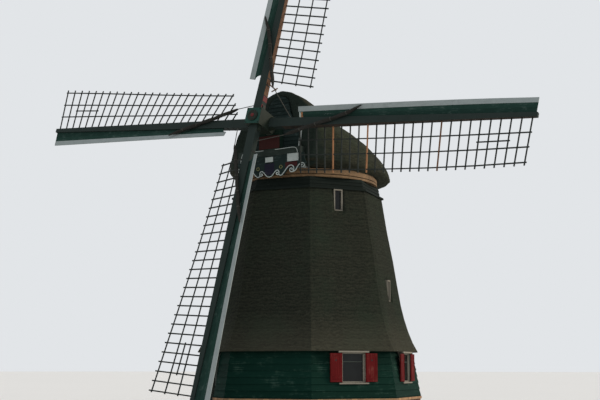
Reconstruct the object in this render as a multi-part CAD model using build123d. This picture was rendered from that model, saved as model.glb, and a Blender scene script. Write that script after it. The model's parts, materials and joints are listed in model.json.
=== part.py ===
from build123d import *
import os
from math import cos, radians, sin, tan

# An eight-sided thatched smock mill, in millimetres, with +Z up and the sails facing -Y.
# The origin is on the ground, on the upright axis that the cap turns about.

# Tower plan
SIDES = 8
STEP = 360 / SIDES
HALF = STEP / 2
TOWER_TURN = 8.6             # from the sails' direction to the middle of the nearest side
REACH = 12000                # longer than any piece that is cut out of a long bar
SEAT = 0.3                   # left between pieces that rest on each other

# Sides of the tower, counted anticlockwise from the one nearest the sails
FRONT_LEFT, FRONT_RIGHT, RIGHT, REAR_RIGHT, REAR, REAR_LEFT, LEFT, ENTRANCE = range(SIDES)

# Brick plinth
PLINTH_TOP = 600
PLINTH_CORNER = 4110
PLINTH_WALL = 360
COPING = 80
COPING_PROUD = 50

# Boarded base
BASE_BOTTOM = PLINTH_TOP + COPING
EAVE_Z = 2265
BASE_CORNER_LOW = 4110
BASE_CORNER_HIGH = 3830
BASE_WALL = 140

# Ground floor, on the solid fill inside the plinth
FLOOR_TOP = 200

# The door and the windows stand upright in the leaning walls, their faces this far from the axis
FRAME_FACE = 3720

# Door
DOOR_WIDTH = 800
DOOR_HEAD = 2200
DOOR_LEAF = 50
DOOR_POST = 110
DOOR_GAP = 6
DOOR_FRAME_DEPTH = 330
KNUCKLE = 12
KNUCKLE_LONG = 90
KNUCKLES_UP = (250, 1500)    # lower ends of the leaf's knuckles over its foot

# Ground floor windows and their shutters
WINDOW_WIDTH = 850
WINDOW_SILL = 1210
HEAD_BOARD = 55
WINDOW_HEAD = EAVE_Z - SEAT - HEAD_BOARD
SILL_BOARD = 45
JAMB = 50
WINDOW_DEPTH = 300
HEAD_WIDTH = 1130
SILL_WIDTH = 1100
HEAD_PROUD = 30
PANE = 6
PANE_BACK = 80               # from the frame's face to the pane
SHUTTER_WIDTH = 430
SHUTTER = 32
SHUTTER_PROUD = 45           # from the frame's face to the shutter's middle
HINGE_INSET = 25             # of the hinge line from the window frame's outer edge
LUG = 26
LUG_HIGH = 24

# Thatched smock: heights, and distances of its corners from the axis
THATCH_TOP = 7990
THATCH_CORNERS = [(EAVE_Z, 4050), (2600, 3870), (3000, 3710), (3450, 3570), (3950, 3450), (4700, 3320),
                  (5600, 3180), (6700, 2970), (THATCH_TOP, 2770)]
THATCH_SKIRT = 545
THATCH_UPPER = 260

# Small windows in the thatch, by the height of their sills
SLIT_WIDTH = 330
SLIT_HEIGHT = 770
SLIT_SILLS = {FRONT_RIGHT: 7160, RIGHT: 4050, ENTRANCE: 3510, REAR_LEFT: 7160, REAR_RIGHT: 4050}
SLIT_FRAME = 40
SLIT_DEPTH = 200
SLIT_BACK = 40               # from the thatch at the sill to the frame's face

# Collar and turning gear on top of the smock
CURB_Z = 8371
COLLAR_CORNER_LOW = 2710
COLLAR_CORNER_HIGH = 2640
COLLAR_WALL = 120
CURB_RADIUS = 2600
CURB_WIDTH = 300
CURB_PIECES = 72             # short straight lengths that make up each ring
CURB_LOWER = 75
SLIDE = 30
CURB_UPPER = 185
SLIDE_BLOCKS = 12
SLIDE_WIDE = 120
SLIDE_LONG = 240
RUNNING = 0.3
CAP_RING_Z = CURB_Z + CURB_LOWER + SLIDE
CAP_FLOOR = CAP_RING_Z + CURB_UPPER

# Cap: distance along it, half width, height over the eave at mid length, and fullness of the arch
CAP_EAVE = 8825
EAVE_FALL = 0.0436           # of the eave towards the rear, per unit of length
CAP_SECTIONS = [(-2850, 1280, 2800, 1.9), (-2250, 1950, 2820, 1.75), (-1600, 2480, 2790, 1.55),
                (-800, 2760, 2600, 1.42), (0, 2880, 2440, 1.37), (800, 2830, 2360, 1.4),
                (1500, 2680, 2180, 1.45), (2200, 2400, 1800, 1.55), (2800, 1950, 1350, 1.65),
                (3250, 1400, 930, 1.75), (3650, 700, 450, 1.8)]
ARCH_CHORDS = 14
CAP_THATCH = 200
CAP_FRONT_Y = 2500
CAP_FRONT_WALL = 50
CAP_VERGE = 300              # thickness of the thatch round the front opening, along the cap
CAP_TAIL = 120
EAVE_DROP = 200              # from the eave's outer edge to the foot of its underside
EAVE_FOOT = 60               # of the underside outside the ring
EAVE_INSIDE = 2250

# Front wall: half of its outline, as distance across and height up the leaning wall over the weather beam
FRONT_EDGE = [(1090, 0), (1090, 640), (900, 820), (690, 1150), (520, 1450), (440, 1750), (370, 1970),
              (210, 2120), (0, 2170)]
FRONT_DOWN = 700             # of the opening behind the wall, below the weather beam's top

# Beams of the cap
SHEER_X = 975
SHEER_WIDTH = 440
SHEER_TALL = 470
SHEER_TOP = CAP_FLOOR + SHEER_TALL
SHEER_NOSE = 270
SHEER_PROUD = 20
SHEER_REAR = 2300
NOSE_BACK = 2300
BEAM_TALL = 240
BEAM_TOP = SHEER_TOP + BEAM_TALL
BEAM_HALF = 1300
BEAM_FRONT = 2780
BEAM_DEPTH = 320
NECK_WIDTH = 840
NECK_DEPTH = 260
NECK_BACK = 10               # from the weather beam's face to the neck's face
TAIL_Y = 1300
TAIL_DEPTH = 260
TAIL_TALL = 340
TRIM_X = 1070
TRIM_WIDE = 70
TRIM_TALL = 700
TRIM_THICK = 30
TRIM_FOOT = 12               # over the weather beam, up the leaning wall
PANEL_TALL = 470
PANEL_THICK = 25
PANEL_UP = 15

# Beard: half of the outline of its foot, from the middle to the beam's end
BEARD_EDGE = [(0, 8360), (150, 8420), (250, 8540), (330, 8440), (460, 8360), (600, 8430), (740, 8590),
              (850, 8560), (960, 8500), (1100, 8580), (1250, 8680), (1420, 8640), (1500, 8760), (1440, 8900)]
BEARD_TOP_HALF = 1400
BEARD_BACK = 60              # from the weather beam's face to the beard's back
BEARD = 40
PLATE_WIDE = 330
PLATE_TALL = 190
PLATE_Z = 8995
PLATE_THICK = 22

# Sails
SAIL_RADIUS = 10000
HUB_Y = 3383
HUB_Z = 10270
SHAFT_TILT = 13.2
ROTOR_TURN = -5.4
STOCK_OFFSET = 238
STOCK_WIDTH = 343
STOCK_DEPTH = 270
TIP_WIDTH = 150
TIP_DEPTH = 120
SHAFT_RADIUS = 240
SHAFT_REAR = 4960
SHAFT_ROOM = 30
JOURNAL_RADIUS = 95
JOURNAL_FRONT = 4640
POLL_FRONT = 500
POLL_REAR = 450
POLL_SIZE = 600
POLL_BOSS = 200
POLL_BOSS_LONG = 49
WEDGE_LONG = 180
WEDGE_THICK = 60
WEDGE_TIP = 20
WEDGE_DEEP = 150
BARS = 26
TIP_BAR = 0.984
BAR_GAP = 0.0334
RAIL_OUT = [598, 1104, 1630]
BAR_PAST = 107               # of a bar past its outermost rail
CUT_BACK = {"left": 2}         # bars cut short at the inner end of a sail's lattice
BAR_WIDE = 42
BAR_THICK = 30
RAIL_WIDE = 40
RAIL_THICK = 28
RAIL_PAST = 60               # of a rail past the end bars
RAIL_SPANS = 5
SHORT_RAIL_OUT = 850
SHORT_RAIL_BARS = (2, 5)
TWIST_TIP = -5
TWIST_RISE = 43
TWIST_EASE = 14
BOARD_FOOT = 1450
BOARD_HEAD = 0.995
BOARD_EDGE_ROOT = 560
BOARD_EDGE_TIP = 620
BOARD_SPANS = 4
BOARD_THICK = 26
BOARD_NOTCH = 200
ROLL_RADIUS = 75
ROLL_SIDES = 8
ROLL_BEND = 900
ROLL_PATH = [(1095, -533), (2142, -181), (3285, 167), (3950, 457)]
ROLL_CLEAR = 25              # between the roll's foot and the wind board
ROPE_RADIUS = 14
ROPE_ENDS = {"right": 900, "top": 1250, "left": 550, "low": 1100}  # from the hub along the next stock


os.makedirs("parts", exist_ok=True)


def save(name, shape):
    solids = shape.solids()
    whole = solids[0] if len(solids) == 1 else Compound(children=list(solids))
    export_step(whole, f"parts/{name}.step")


def flat(radius):
    """Distance from the axis to the middle of a side whose corners lie at this radius."""
    return radius * cos(radians(HALF))


def on_side(shape, side):
    """Turn a piece that was made on the side facing -Y to its own side of the tower."""
    return Rot(0, 0, TOWER_TURN + side * STEP) * shape


def mitre():
    """The wedge between two corner planes, in which one side of the tower lies."""
    half = REACH * tan(radians(HALF))
    wedge = Polygon((0, 0), (-half, -REACH), (half, -REACH), align=None)
    return Pos(0, 0, -REACH / 4) * extrude(wedge, 2 * REACH)


def side_piece(outline):
    """One side from its cross-section: points of distance from the axis and height."""
    section = Plane.YZ * Polygon(*[(-d, z) for d, z in outline], align=None)
    return extrude(section, REACH / 2, both=True) & mitre()


def skinned(rings):
    """A closed solid over a row of outlines that have the same number of points."""
    faces = [Face(Wire.make_polygon(rings[0])), Face(Wire.make_polygon(rings[-1]))]
    for near, far in zip(rings, rings[1:]):
        for i, corner in enumerate(near):
            j = (i + 1) % len(near)
            faces.append(Face(Wire.make_polygon([corner, near[j], far[j]])))
            faces.append(Face(Wire.make_polygon([corner, far[j], far[i]])))
    return Solid(Shell(faces))


def between(low, high, share):
    return low + (high - low) * share


def base_flat(z):
    """Distance from the axis to the boarded wall's outer face, at a height."""
    share = (z - BASE_BOTTOM) / (EAVE_Z - BASE_BOTTOM)
    return flat(between(BASE_CORNER_LOW, BASE_CORNER_HIGH, share))


def thatch_flat(z):
    """Distance from the axis to the middle of a thatched side, at a height."""
    for (low, r_low), (high, r_high) in zip(THATCH_CORNERS, THATCH_CORNERS[1:]):
        if low <= z <= high:
            return flat(between(r_low, r_high, (z - low) / (high - low)))
    raise ValueError("height outside the thatch")


def frame_place(z):
    """A plane facing -Y on the upright face that the window and door frames share, with its own Y up."""
    return Plane(origin=(0, -FRAME_FACE, z), x_dir=(1, 0, 0), z_dir=(0, -1, 0))


SHAFT_AXIS = (0, -cos(radians(SHAFT_TILT)), sin(radians(SHAFT_TILT)))
ROTOR = Plane(origin=(0, -HUB_Y, HUB_Z), x_dir=(1, 0, 0), z_dir=SHAFT_AXIS)


# Plinth and base

def plinth_side():
    outer = flat(PLINTH_CORNER)
    inner = outer - PLINTH_WALL
    return side_piece([(inner, 0), (outer, 0), (outer, PLINTH_TOP), (inner, PLINTH_TOP)])


def coping_side():
    outer = flat(PLINTH_CORNER) + COPING_PROUD
    inner = flat(PLINTH_CORNER) - PLINTH_WALL
    return side_piece([(inner, PLINTH_TOP), (outer, PLINTH_TOP), (outer, BASE_BOTTOM), (inner, BASE_BOTTOM)])


def base_side():
    low = base_flat(BASE_BOTTOM)
    high = base_flat(EAVE_Z)
    outer = [(low, BASE_BOTTOM), (high, EAVE_Z)]
    return side_piece(outer + [(high - BASE_WALL, EAVE_Z), (low - BASE_WALL, BASE_BOTTOM)])


def doorway(bottom, top):
    return Pos(0, -FRAME_FACE, (bottom + top) / 2) * Box(DOOR_WIDTH + 2 * DOOR_POST, 3000, top - bottom)


def window_hole():
    """The gap in the wall, from the underside of the sill board to the thatch."""
    bottom = WINDOW_SILL - SILL_BOARD
    tall = EAVE_Z + 100 - bottom
    return frame_place(bottom + tall / 2) * Box(WINDOW_WIDTH + 2 * JAMB, tall, 3 * WINDOW_DEPTH)


def make_plinth():
    plain = plinth_side()
    cap = coping_side()
    split = plain - doorway(FLOOR_TOP, PLINTH_TOP + 1)
    low = side_piece([(flat(PLINTH_CORNER) - PLINTH_WALL, 0), (flat(PLINTH_CORNER), 0),
                      (flat(PLINTH_CORNER), FLOOR_TOP), (flat(PLINTH_CORNER) - PLINTH_WALL, FLOOR_TOP)])
    upper = split - low
    save("plinth_even_sides", Compound(children=[on_side(plain, s) for s in (0, 2, 4, 6)]))
    save("plinth_odd_sides", Compound(children=[on_side(plain, s) for s in (1, 3, 5)]))
    save("plinth_under_door", on_side(low, ENTRANCE))
    save("plinth_beside_door", on_side(upper, ENTRANCE))
    ring = cap
    for side in range(1, SIDES - 1):
        ring = ring + Rot(0, 0, side * STEP) * cap
    ends = cap - doorway(0, EAVE_Z)
    ring = ring + Rot(0, 0, -STEP) * ends
    save("plinth_coping", on_side(ring, 0))


def make_base_walls():
    plain = base_side()
    holed = plain - window_hole()
    save("base_walls_plain", Compound(children=[on_side(plain, s) for s in (FRONT_LEFT, REAR_RIGHT, LEFT)]))
    save("base_wall_rear", on_side(plain, REAR))
    save("base_wall_front_right", on_side(holed, FRONT_RIGHT))
    save("base_wall_right", on_side(holed, RIGHT))
    save("base_wall_rear_left", on_side(holed, REAR_LEFT))
    over = plain & doorway(DOOR_HEAD, EAVE_Z + 100)
    beside = plain - doorway(0, EAVE_Z + 100)
    save("base_wall_over_door", on_side(over, ENTRANCE))
    save("base_wall_beside_door", on_side(beside, ENTRANCE))


def make_floor():
    inner = flat(PLINTH_CORNER) - PLINTH_WALL
    plate = RegularPolygon(inner - SEAT, SIDES, major_radius=False, rotation=HALF)
    save("ground_floor", Rot(0, 0, TOWER_TURN) * extrude(plate, FLOOR_TOP))


# Door

def door_inner_face():
    """Distance from the axis to the inner face of the door frame and of the closed leaf."""
    return FRAME_FACE - DOOR_FRAME_DEPTH


def hinge_half(z, long, side):
    """A length of the door's hinge with its flap, on the frame (side -1) or on the leaf (side 1)."""
    x = -DOOR_WIDTH / 2 + DOOR_GAP / 2
    y = -door_inner_face() + KNUCKLE
    flap = Pos(side * 2 * KNUCKLE, -KNUCKLE / 2, 0) * Box(4 * KNUCKLE, KNUCKLE, long)
    return Pos(x, y, z + long / 2) * (Cylinder(KNUCKLE, long) + flap)


def make_door():
    """The frame fills the opening and the leaf stands at its inner edge, opening inwards."""
    inner = door_inner_face()
    y = -(inner + DOOR_FRAME_DEPTH / 2)
    tall = DOOR_HEAD - FLOOR_TOP
    post = Box(DOOR_POST, DOOR_FRAME_DEPTH, tall)
    frame = Pos(-(DOOR_WIDTH + DOOR_POST) / 2, y, FLOOR_TOP + tall / 2) * post
    frame += Pos((DOOR_WIDTH + DOOR_POST) / 2, y, FLOOR_TOP + tall / 2) * post
    frame += Pos(0, y, DOOR_HEAD - DOOR_POST / 2) * Box(DOOR_WIDTH + 2 * DOOR_POST, DOOR_FRAME_DEPTH, DOOR_POST)
    leaf_foot = FLOOR_TOP + DOOR_GAP
    leaf_tall = tall - DOOR_POST - 2 * DOOR_GAP
    middle = Pos(0, -inner - DOOR_LEAF / 2, leaf_foot + leaf_tall / 2)
    leaf = middle * Box(DOOR_WIDTH - 2 * DOOR_GAP, DOOR_LEAF, leaf_tall)
    for up in KNUCKLES_UP:
        frame += hinge_half(leaf_foot + up - SEAT - KNUCKLE_LONG, KNUCKLE_LONG, -1)
        leaf += hinge_half(leaf_foot + up, KNUCKLE_LONG, 1)
    save("door_frame", on_side(frame, ENTRANCE))
    save("door_leaf", on_side(leaf, ENTRANCE))


# Windows

def window_tall():
    return WINDOW_HEAD - WINDOW_SILL


def window_place():
    return frame_place((WINDOW_HEAD + WINDOW_SILL) / 2)


def window_frame():
    """Jambs, with a head board and a sill board that reach out to hold the shutters between them."""
    tall = window_tall()
    deep = WINDOW_DEPTH
    frame = Box(WINDOW_WIDTH + 2 * JAMB, tall, deep) - Box(WINDOW_WIDTH, tall + 2, deep + 2)
    frame = Pos(0, 0, -deep / 2) * frame
    reach = SHUTTER_PROUD + HEAD_PROUD
    for up, thick, wide in ((1, HEAD_BOARD, HEAD_WIDTH), (-1, SILL_BOARD, SILL_WIDTH)):
        middle = up * (tall + thick) / 2
        frame += Pos(0, middle, -deep / 2) * Box(WINDOW_WIDTH + 2 * JAMB, thick, deep)
        frame += Pos(0, middle, reach / 2) * Box(wide, thick, reach)
    return window_place() * frame


def window_glass():
    return window_place() * (Pos(0, 0, -PANE_BACK) * Box(WINDOW_WIDTH, window_tall(), PANE))


def hinge_x():
    return WINDOW_WIDTH / 2 + JAMB - HINGE_INSET


def shutter(hand):
    """A shutter standing open beside its window; hand is -1 on the left of its window and 1 on the right."""
    tall = window_tall() - 2 * (LUG_HIGH + SEAT)
    edge = Rot(90, 0, 0) * Cylinder(SHUTTER / 2, tall)
    board = edge + Pos(hand * SHUTTER_WIDTH / 2, 0, 0) * Box(SHUTTER_WIDTH, tall, SHUTTER)
    return window_place() * (Pos(hand * hinge_x(), 0, SHUTTER_PROUD) * board)


def shutter_lugs(hand):
    """The two lugs on the window frame that hold a shutter by the ends of its rounded edge."""
    deep = SHUTTER_PROUD + LUG / 2 - SEAT
    up = (window_tall() - LUG_HIGH) / 2 - SEAT / 2
    lug = Pos(hand * hinge_x(), 0, SEAT + deep / 2) * Box(LUG, LUG_HIGH - SEAT, deep)
    return [window_place() * (Pos(0, end * up, 0) * lug) for end in (-1, 1)]


def slit_place(side):
    """A plane on the upright face of a small window in the thatch, at the middle of its height."""
    sill = SLIT_SILLS[side]
    origin = (0, -(thatch_flat(sill) - SLIT_BACK), sill + SLIT_HEIGHT / 2)
    return Plane(origin=origin, x_dir=(1, 0, 0), z_dir=(0, -1, 0))


def slit_frame(side):
    outer = Box(SLIT_WIDTH, SLIT_HEIGHT, SLIT_DEPTH)
    inner = Box(SLIT_WIDTH - 2 * SLIT_FRAME, SLIT_HEIGHT - 2 * SLIT_FRAME, SLIT_DEPTH + 2)
    return slit_place(side) * (Pos(0, 0, -SLIT_DEPTH / 2) * (outer - inner))


def slit_pane(side):
    pane = Box(SLIT_WIDTH - 2 * SLIT_FRAME, SLIT_HEIGHT - 2 * SLIT_FRAME, PANE)
    return slit_place(side) * (Pos(0, 0, -PANE_BACK) * pane)


def make_windows():
    faces = (FRONT_RIGHT, RIGHT, REAR_LEFT)
    save("window_frames", Compound(children=[on_side(window_frame(), s) for s in faces]))
    panes = [on_side(window_glass(), s) for s in faces] + [on_side(slit_pane(s), s) for s in SLIT_SILLS]
    save("window_glass", Compound(children=panes))
    for side, name in ((FRONT_RIGHT, "front"), (RIGHT, "side")):
        save(f"shutter_{name}_left", on_side(shutter(-1), side))
        save(f"shutter_{name}_right", on_side(shutter(1), side))
    save("rear_shutters", Compound(children=[on_side(shutter(h), REAR_LEFT) for h in (-1, 1)]))
    lugs = [on_side(lug, s) for s in faces for h in (-1, 1) for lug in shutter_lugs(h)]
    save("shutter_lugs", Compound(children=lugs))
    save("slit_frames", Compound(children=[on_side(slit_frame(s), s) for s in SLIT_SILLS]))


# Smock

def thatch_side():
    outer = [(flat(r), z) for z, r in THATCH_CORNERS]
    top = (flat(THATCH_CORNERS[-1][1]) - THATCH_UPPER, THATCH_TOP)
    foot = (flat(THATCH_CORNERS[0][1]) - THATCH_SKIRT, EAVE_Z)
    return side_piece(outer + [top, foot])


def slit_hole(side):
    return slit_place(side) * Box(SLIT_WIDTH, SLIT_HEIGHT, 3000)


def make_smock():
    plain = thatch_side()
    sides = []
    for side in range(SIDES):
        piece = plain - slit_hole(side) if side in SLIT_SILLS else plain
        sides.append(on_side(piece, side))
    save("smock_thatch_even_sides", Compound(children=sides[0::2]))
    save("smock_thatch_odd_sides", Compound(children=sides[1::2]))


def make_collar():
    low = flat(COLLAR_CORNER_LOW)
    high = flat(COLLAR_CORNER_HIGH)
    outer = [(low, THATCH_TOP), (high, CURB_Z)]
    side = side_piece(outer + [(high - COLLAR_WALL, CURB_Z), (low - COLLAR_WALL, THATCH_TOP)])
    ring = side
    for turn in range(1, SIDES):
        ring = ring + Rot(0, 0, turn * STEP) * side
    save("collar", on_side(ring, 0))


def ring_of(bottom, height):
    """A ring of short straight lengths, as the timber kerb of a turning cap is made."""
    outer = RegularPolygon(CURB_RADIUS, CURB_PIECES)
    inner = RegularPolygon(CURB_RADIUS - CURB_WIDTH, CURB_PIECES)
    return Pos(0, 0, bottom) * extrude(outer - inner, height)


def make_curb():
    save("curb_ring", ring_of(CURB_Z, CURB_LOWER))
    tall = SLIDE - RUNNING
    middle = CURB_Z + CURB_LOWER + tall / 2
    block = Pos(CURB_RADIUS - CURB_WIDTH / 2, 0, middle) * Box(SLIDE_WIDE, SLIDE_LONG, tall)
    blocks = [Rot(0, 0, i * 360 / SLIDE_BLOCKS) * block for i in range(SLIDE_BLOCKS)]
    save("slide_blocks", Compound(children=blocks))
    save("cap_ring", ring_of(CAP_RING_Z, CURB_UPPER))


# Cap

def rim_height(y):
    """Height of the eave's edge at a distance along the cap."""
    return CAP_EAVE - EAVE_FALL * y


def arch(y, half, rise, fullness, inset):
    """The points of a round-topped arch across the cap, from its right foot to its left foot."""
    points = []
    for i in range(ARCH_CHORDS + 1):
        a = radians(180 * i / ARCH_CHORDS)
        across = abs(cos(a)) ** (2 / fullness) * (half - inset)
        up = abs(sin(a)) ** (2 / fullness) * (rise - inset)
        points.append((across if 2 * i <= ARCH_CHORDS else -across, y, rim_height(y) + up))
    return points


def cap_form(inset):
    return skinned([arch(*section, inset) for section in CAP_SECTIONS])


def front_cut(back):
    """All that lies in front of a plane square to the windshaft, this far behind the cap's front."""
    face = Plane(origin=(0, -CAP_FRONT_Y + back, BEAM_TOP), x_dir=(1, 0, 0), z_dir=SHAFT_AXIS)
    return face * (Pos(0, 0, REACH / 2) * Box(REACH, REACH, REACH))


def front_outline(inset, down):
    """The bell-shaped front opening on the leaning plane, reaching some way down behind the beam."""
    half = [(max(x - inset, 0), up - inset) for x, up in FRONT_EDGE[1:]]
    half = [(FRONT_EDGE[0][0] - inset, -down)] + half
    whole = half + [(-x, up) for x, up in reversed(half[:-1])]
    face = Plane(origin=(0, -CAP_FRONT_Y, BEAM_TOP), x_dir=(1, 0, 0), z_dir=SHAFT_AXIS)
    return face * Polygon(*whole, align=None)


def half_space(x_sign):
    return Pos(x_sign * REACH / 2, 0, 0) * Box(REACH, REACH, 4 * REACH)


def shaft_hole(radius):
    return ROTOR * (Pos(0, 0, -SHAFT_REAR / 2) * Cylinder(radius, SHAFT_REAR))


def shaft_height(y):
    """Height of the windshaft's centre line over a place along the cap."""
    return HUB_Z - (HUB_Y + y) * tan(radians(SHAFT_TILT))


def sheer_beam():
    nose = SHEER_TOP - SHEER_NOSE
    front = -BEAM_FRONT - SHEER_PROUD
    outline = [(front, nose), (-NOSE_BACK, nose), (-NOSE_BACK, CAP_FLOOR), (SHEER_REAR, CAP_FLOOR),
               (SHEER_REAR, SHEER_TOP), (front, SHEER_TOP)]
    return extrude(Plane.YZ * Polygon(*outline, align=None), SHEER_WIDTH / 2, both=True)


def weather_beam():
    middle = Pos(0, -BEAM_FRONT + BEAM_DEPTH / 2, (SHEER_TOP + BEAM_TOP) / 2)
    return middle * Box(2 * BEAM_HALF, BEAM_DEPTH, BEAM_TALL)


def neck_block():
    y = -BEAM_FRONT + NECK_BACK + NECK_DEPTH / 2
    tall = shaft_height(y) - BEAM_TOP
    return Pos(0, y, BEAM_TOP + tall / 2) * Box(NECK_WIDTH, NECK_DEPTH, tall)


def eave_block():
    """The thick edge under the thatch: its outline at the rim over a rounder one beside the ring."""
    right = [(half, y) for y, half, rise, fullness in CAP_SECTIONS]
    rear = [(0, CAP_SECTIONS[-1][0] + CAP_TAIL)]
    plan = right + rear + [(-x, y) for x, y in reversed(right)]
    rim = [(x, y, rim_height(y)) for x, y in plan]
    foot = []
    for x, y in plan:
        share = (CURB_RADIUS + EAVE_FOOT) / (x * x + y * y) ** 0.5
        foot.append((x * share, y * share, rim_height(y * share) - EAVE_DROP))
    return skinned([foot, rim])


def make_cap():
    outer = cap_form(0)
    beams = [Pos(hand * SHEER_X, 0, 0) * sheer_beam() for hand in (-1, 1)]
    hollow = cap_form(CAP_THATCH) - front_cut(CAP_VERGE)
    opening = extrude(front_outline(0, FRONT_DOWN), 2 * CAP_VERGE, both=True)
    shell = outer - hollow - opening - front_cut(0) - weather_beam()
    for beam in beams:
        shell = shell - beam
    save("cap_thatch_right", shell & half_space(1))
    save("cap_thatch_left", shell & half_space(-1))
    wall = extrude(front_outline(SEAT, 0), -CAP_FRONT_WALL)
    wall = wall - shaft_hole(SHAFT_RADIUS + SHAFT_ROOM)
    save("cap_front_wall", wall - Pos(0, 0, BEAM_TOP - REACH / 2) * Box(REACH, REACH, REACH))
    ring = extrude(RegularPolygon(CURB_RADIUS + SEAT, CURB_PIECES), REACH)
    well = extrude(RegularPolygon(EAVE_INSIDE, CURB_PIECES), REACH, both=True)
    eave = eave_block() - Pos(0, 0, CAP_FLOOR - REACH) * ring - well
    for beam in beams:
        eave = eave - beam
    save("cap_eave", eave - Pos(0, -REACH / 2 - NOSE_BACK, 0) * Box(REACH, REACH, 4 * REACH))


def make_front_boards():
    """The upright trims at the front wall's edges and the panel under the windshaft."""
    face = Plane(origin=(0, -CAP_FRONT_Y, BEAM_TOP), x_dir=(1, 0, 0), z_dir=SHAFT_AXIS)
    trim = Box(TRIM_WIDE, TRIM_TALL, TRIM_THICK)
    place = Pos(0, TRIM_FOOT + TRIM_TALL / 2, TRIM_THICK / 2 + SEAT)
    trims = [face * (Pos(hand * TRIM_X, 0, 0) * place * trim) for hand in (-1, 1)]
    save("front_edge_trims", Compound(children=trims))
    y = -BEAM_FRONT + NECK_BACK - SEAT - PANEL_THICK / 2
    middle = Pos(0, y, BEAM_TOP + PANEL_UP + PANEL_TALL / 2)
    save("shaft_panel", middle * Box(NECK_WIDTH, PANEL_THICK, PANEL_TALL))


def make_cap_beams():
    save("sheer_beams", Compound(children=[Pos(hand * SHEER_X, 0, 0) * sheer_beam() for hand in (-1, 1)]))
    save("weather_beam", weather_beam())
    save("neck_bearing", neck_block() - shaft_hole(SHAFT_RADIUS + RUNNING))
    long = 2 * SHEER_X - SHEER_WIDTH - 2 * SEAT
    tail = Pos(0, TAIL_Y, shaft_height(TAIL_Y) - TAIL_TALL / 2) * Box(long, TAIL_DEPTH, TAIL_TALL)
    save("tail_beam", tail - shaft_hole(JOURNAL_RADIUS + RUNNING))


def make_beard():
    """The board under the weather beam, its foot cut to the scrolls, fitted round the sheer beams' ends."""
    half = BEARD_EDGE + [(BEARD_TOP_HALF, SHEER_TOP - SEAT)]
    whole = half + [(-x, z) for x, z in reversed(half[1:])]
    outline = Plane(origin=(0, -BEAM_FRONT + BEARD_BACK, 0), x_dir=(1, 0, 0), z_dir=(0, -1, 0))
    board = extrude(outline * Polygon(*whole, align=None), BEARD)
    low = SHEER_TOP - SHEER_NOSE - SEAT
    for hand in (-1, 1):
        notch = Box(SHEER_WIDTH + 2 * SEAT, 4 * BEARD_BACK, 2 * SHEER_NOSE)
        board = board - Pos(hand * SHEER_X, -BEAM_FRONT, low + SHEER_NOSE) * notch
    face = -BEAM_FRONT + BEARD_BACK - BEARD
    board += Pos(0, face - PLATE_THICK / 2, PLATE_Z) * Box(PLATE_WIDE, PLATE_THICK, PLATE_TALL)
    save("beard", board)


# Sails

def bar_place(k):
    """Distance along the arm of a bar, counted from the tip."""
    return SAIL_RADIUS * (TIP_BAR - BAR_GAP * k)


def twist(u):
    """Angle of the sail's bars to the plane that the sails turn in, at a distance along the arm."""
    share = (bar_place(0) - u) / (bar_place(0) - bar_place(BARS - 1))
    share = max(0.0, min(1.0, share))
    return TWIST_TIP + TWIST_RISE * share - TWIST_EASE * share * share


def station(u, offset):
    """A plane across an arm that points along X: its X runs along the bars, towards the leading side."""
    a = radians(twist(u))
    return Plane(origin=(u, 0, offset), x_dir=(0, cos(a), sin(a)), z_dir=(1, 0, 0))


def taper(plane, middle, tip):
    """A long shape that narrows from its middle to both ends, seen square to a plane."""
    half = [(-SAIL_RADIUS, -tip), (0, -middle), (SAIL_RADIUS, -tip)]
    outline = half + [(-x, -y) for x, y in half]
    return extrude(plane * Polygon(*outline, align=None), SAIL_RADIUS / 10, both=True)


def stock(offset, grow=0.0):
    wide = taper(Plane.XY, STOCK_WIDTH / 2 + grow, TIP_WIDTH / 2 + grow)
    deep = taper(Plane.XZ, STOCK_DEPTH / 2 + grow, TIP_DEPTH / 2 + grow)
    return Pos(0, 0, offset) * (wide & deep)


def strip(offset, low, high, thick, places):
    """A thin board that follows the twist of the bars in straight lengths, from low to high beside the arm."""
    rings = []
    for u, (inner, outer) in zip(places, zip(low, high)):
        across = station(u, offset)
        corners = [(inner, -thick / 2), (outer, -thick / 2), (outer, thick / 2), (inner, thick / 2)]
        rings.append([across.from_local_coords((x, y, 0)) for x, y in corners])
    return skinned(rings)


def stepped(start, end, spans):
    return [between(start, end, i / spans) for i in range(spans + 1)]


def rail(offset, out, start, end, spans):
    """A rail across the bars, at a distance from the stock's middle."""
    places = stepped(start, end, spans)
    low = [-out - RAIL_WIDE / 2] * len(places)
    high = [-out + RAIL_WIDE / 2] * len(places)
    return strip(offset, low, high, RAIL_THICK, places)


def lattice(offset, cut_back):
    """Bars across the arm's trailing side, with the rails that cross them, fused where they meet.
    At the inner end as many bars as cut_back says stop one rail short of the next bar outwards."""
    pieces = []
    for row, out in enumerate(RAIL_OUT):
        last = BARS - 1 - max(0, row + 1 + cut_back - len(RAIL_OUT))
        start = bar_place(0) + RAIL_PAST
        pieces.append(rail(offset, out, start, bar_place(last) - RAIL_PAST, RAIL_SPANS))
    near, far = [bar_place(k) for k in SHORT_RAIL_BARS]
    pieces.append(rail(offset, SHORT_RAIL_OUT, near + RAIL_PAST, far - RAIL_PAST, 1))
    for k in range(BARS):
        rows = len(RAIL_OUT) - max(0, cut_back - (BARS - 1 - k))
        long = RAIL_OUT[rows - 1] + BAR_PAST
        bar = Pos(-long / 2, 0, 0) * Box(long, BAR_THICK, BAR_WIDE)
        pieces.append(station(bar_place(k), offset) * bar)
    whole = pieces[0] + pieces[1:]
    return whole - stock(offset)


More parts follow.
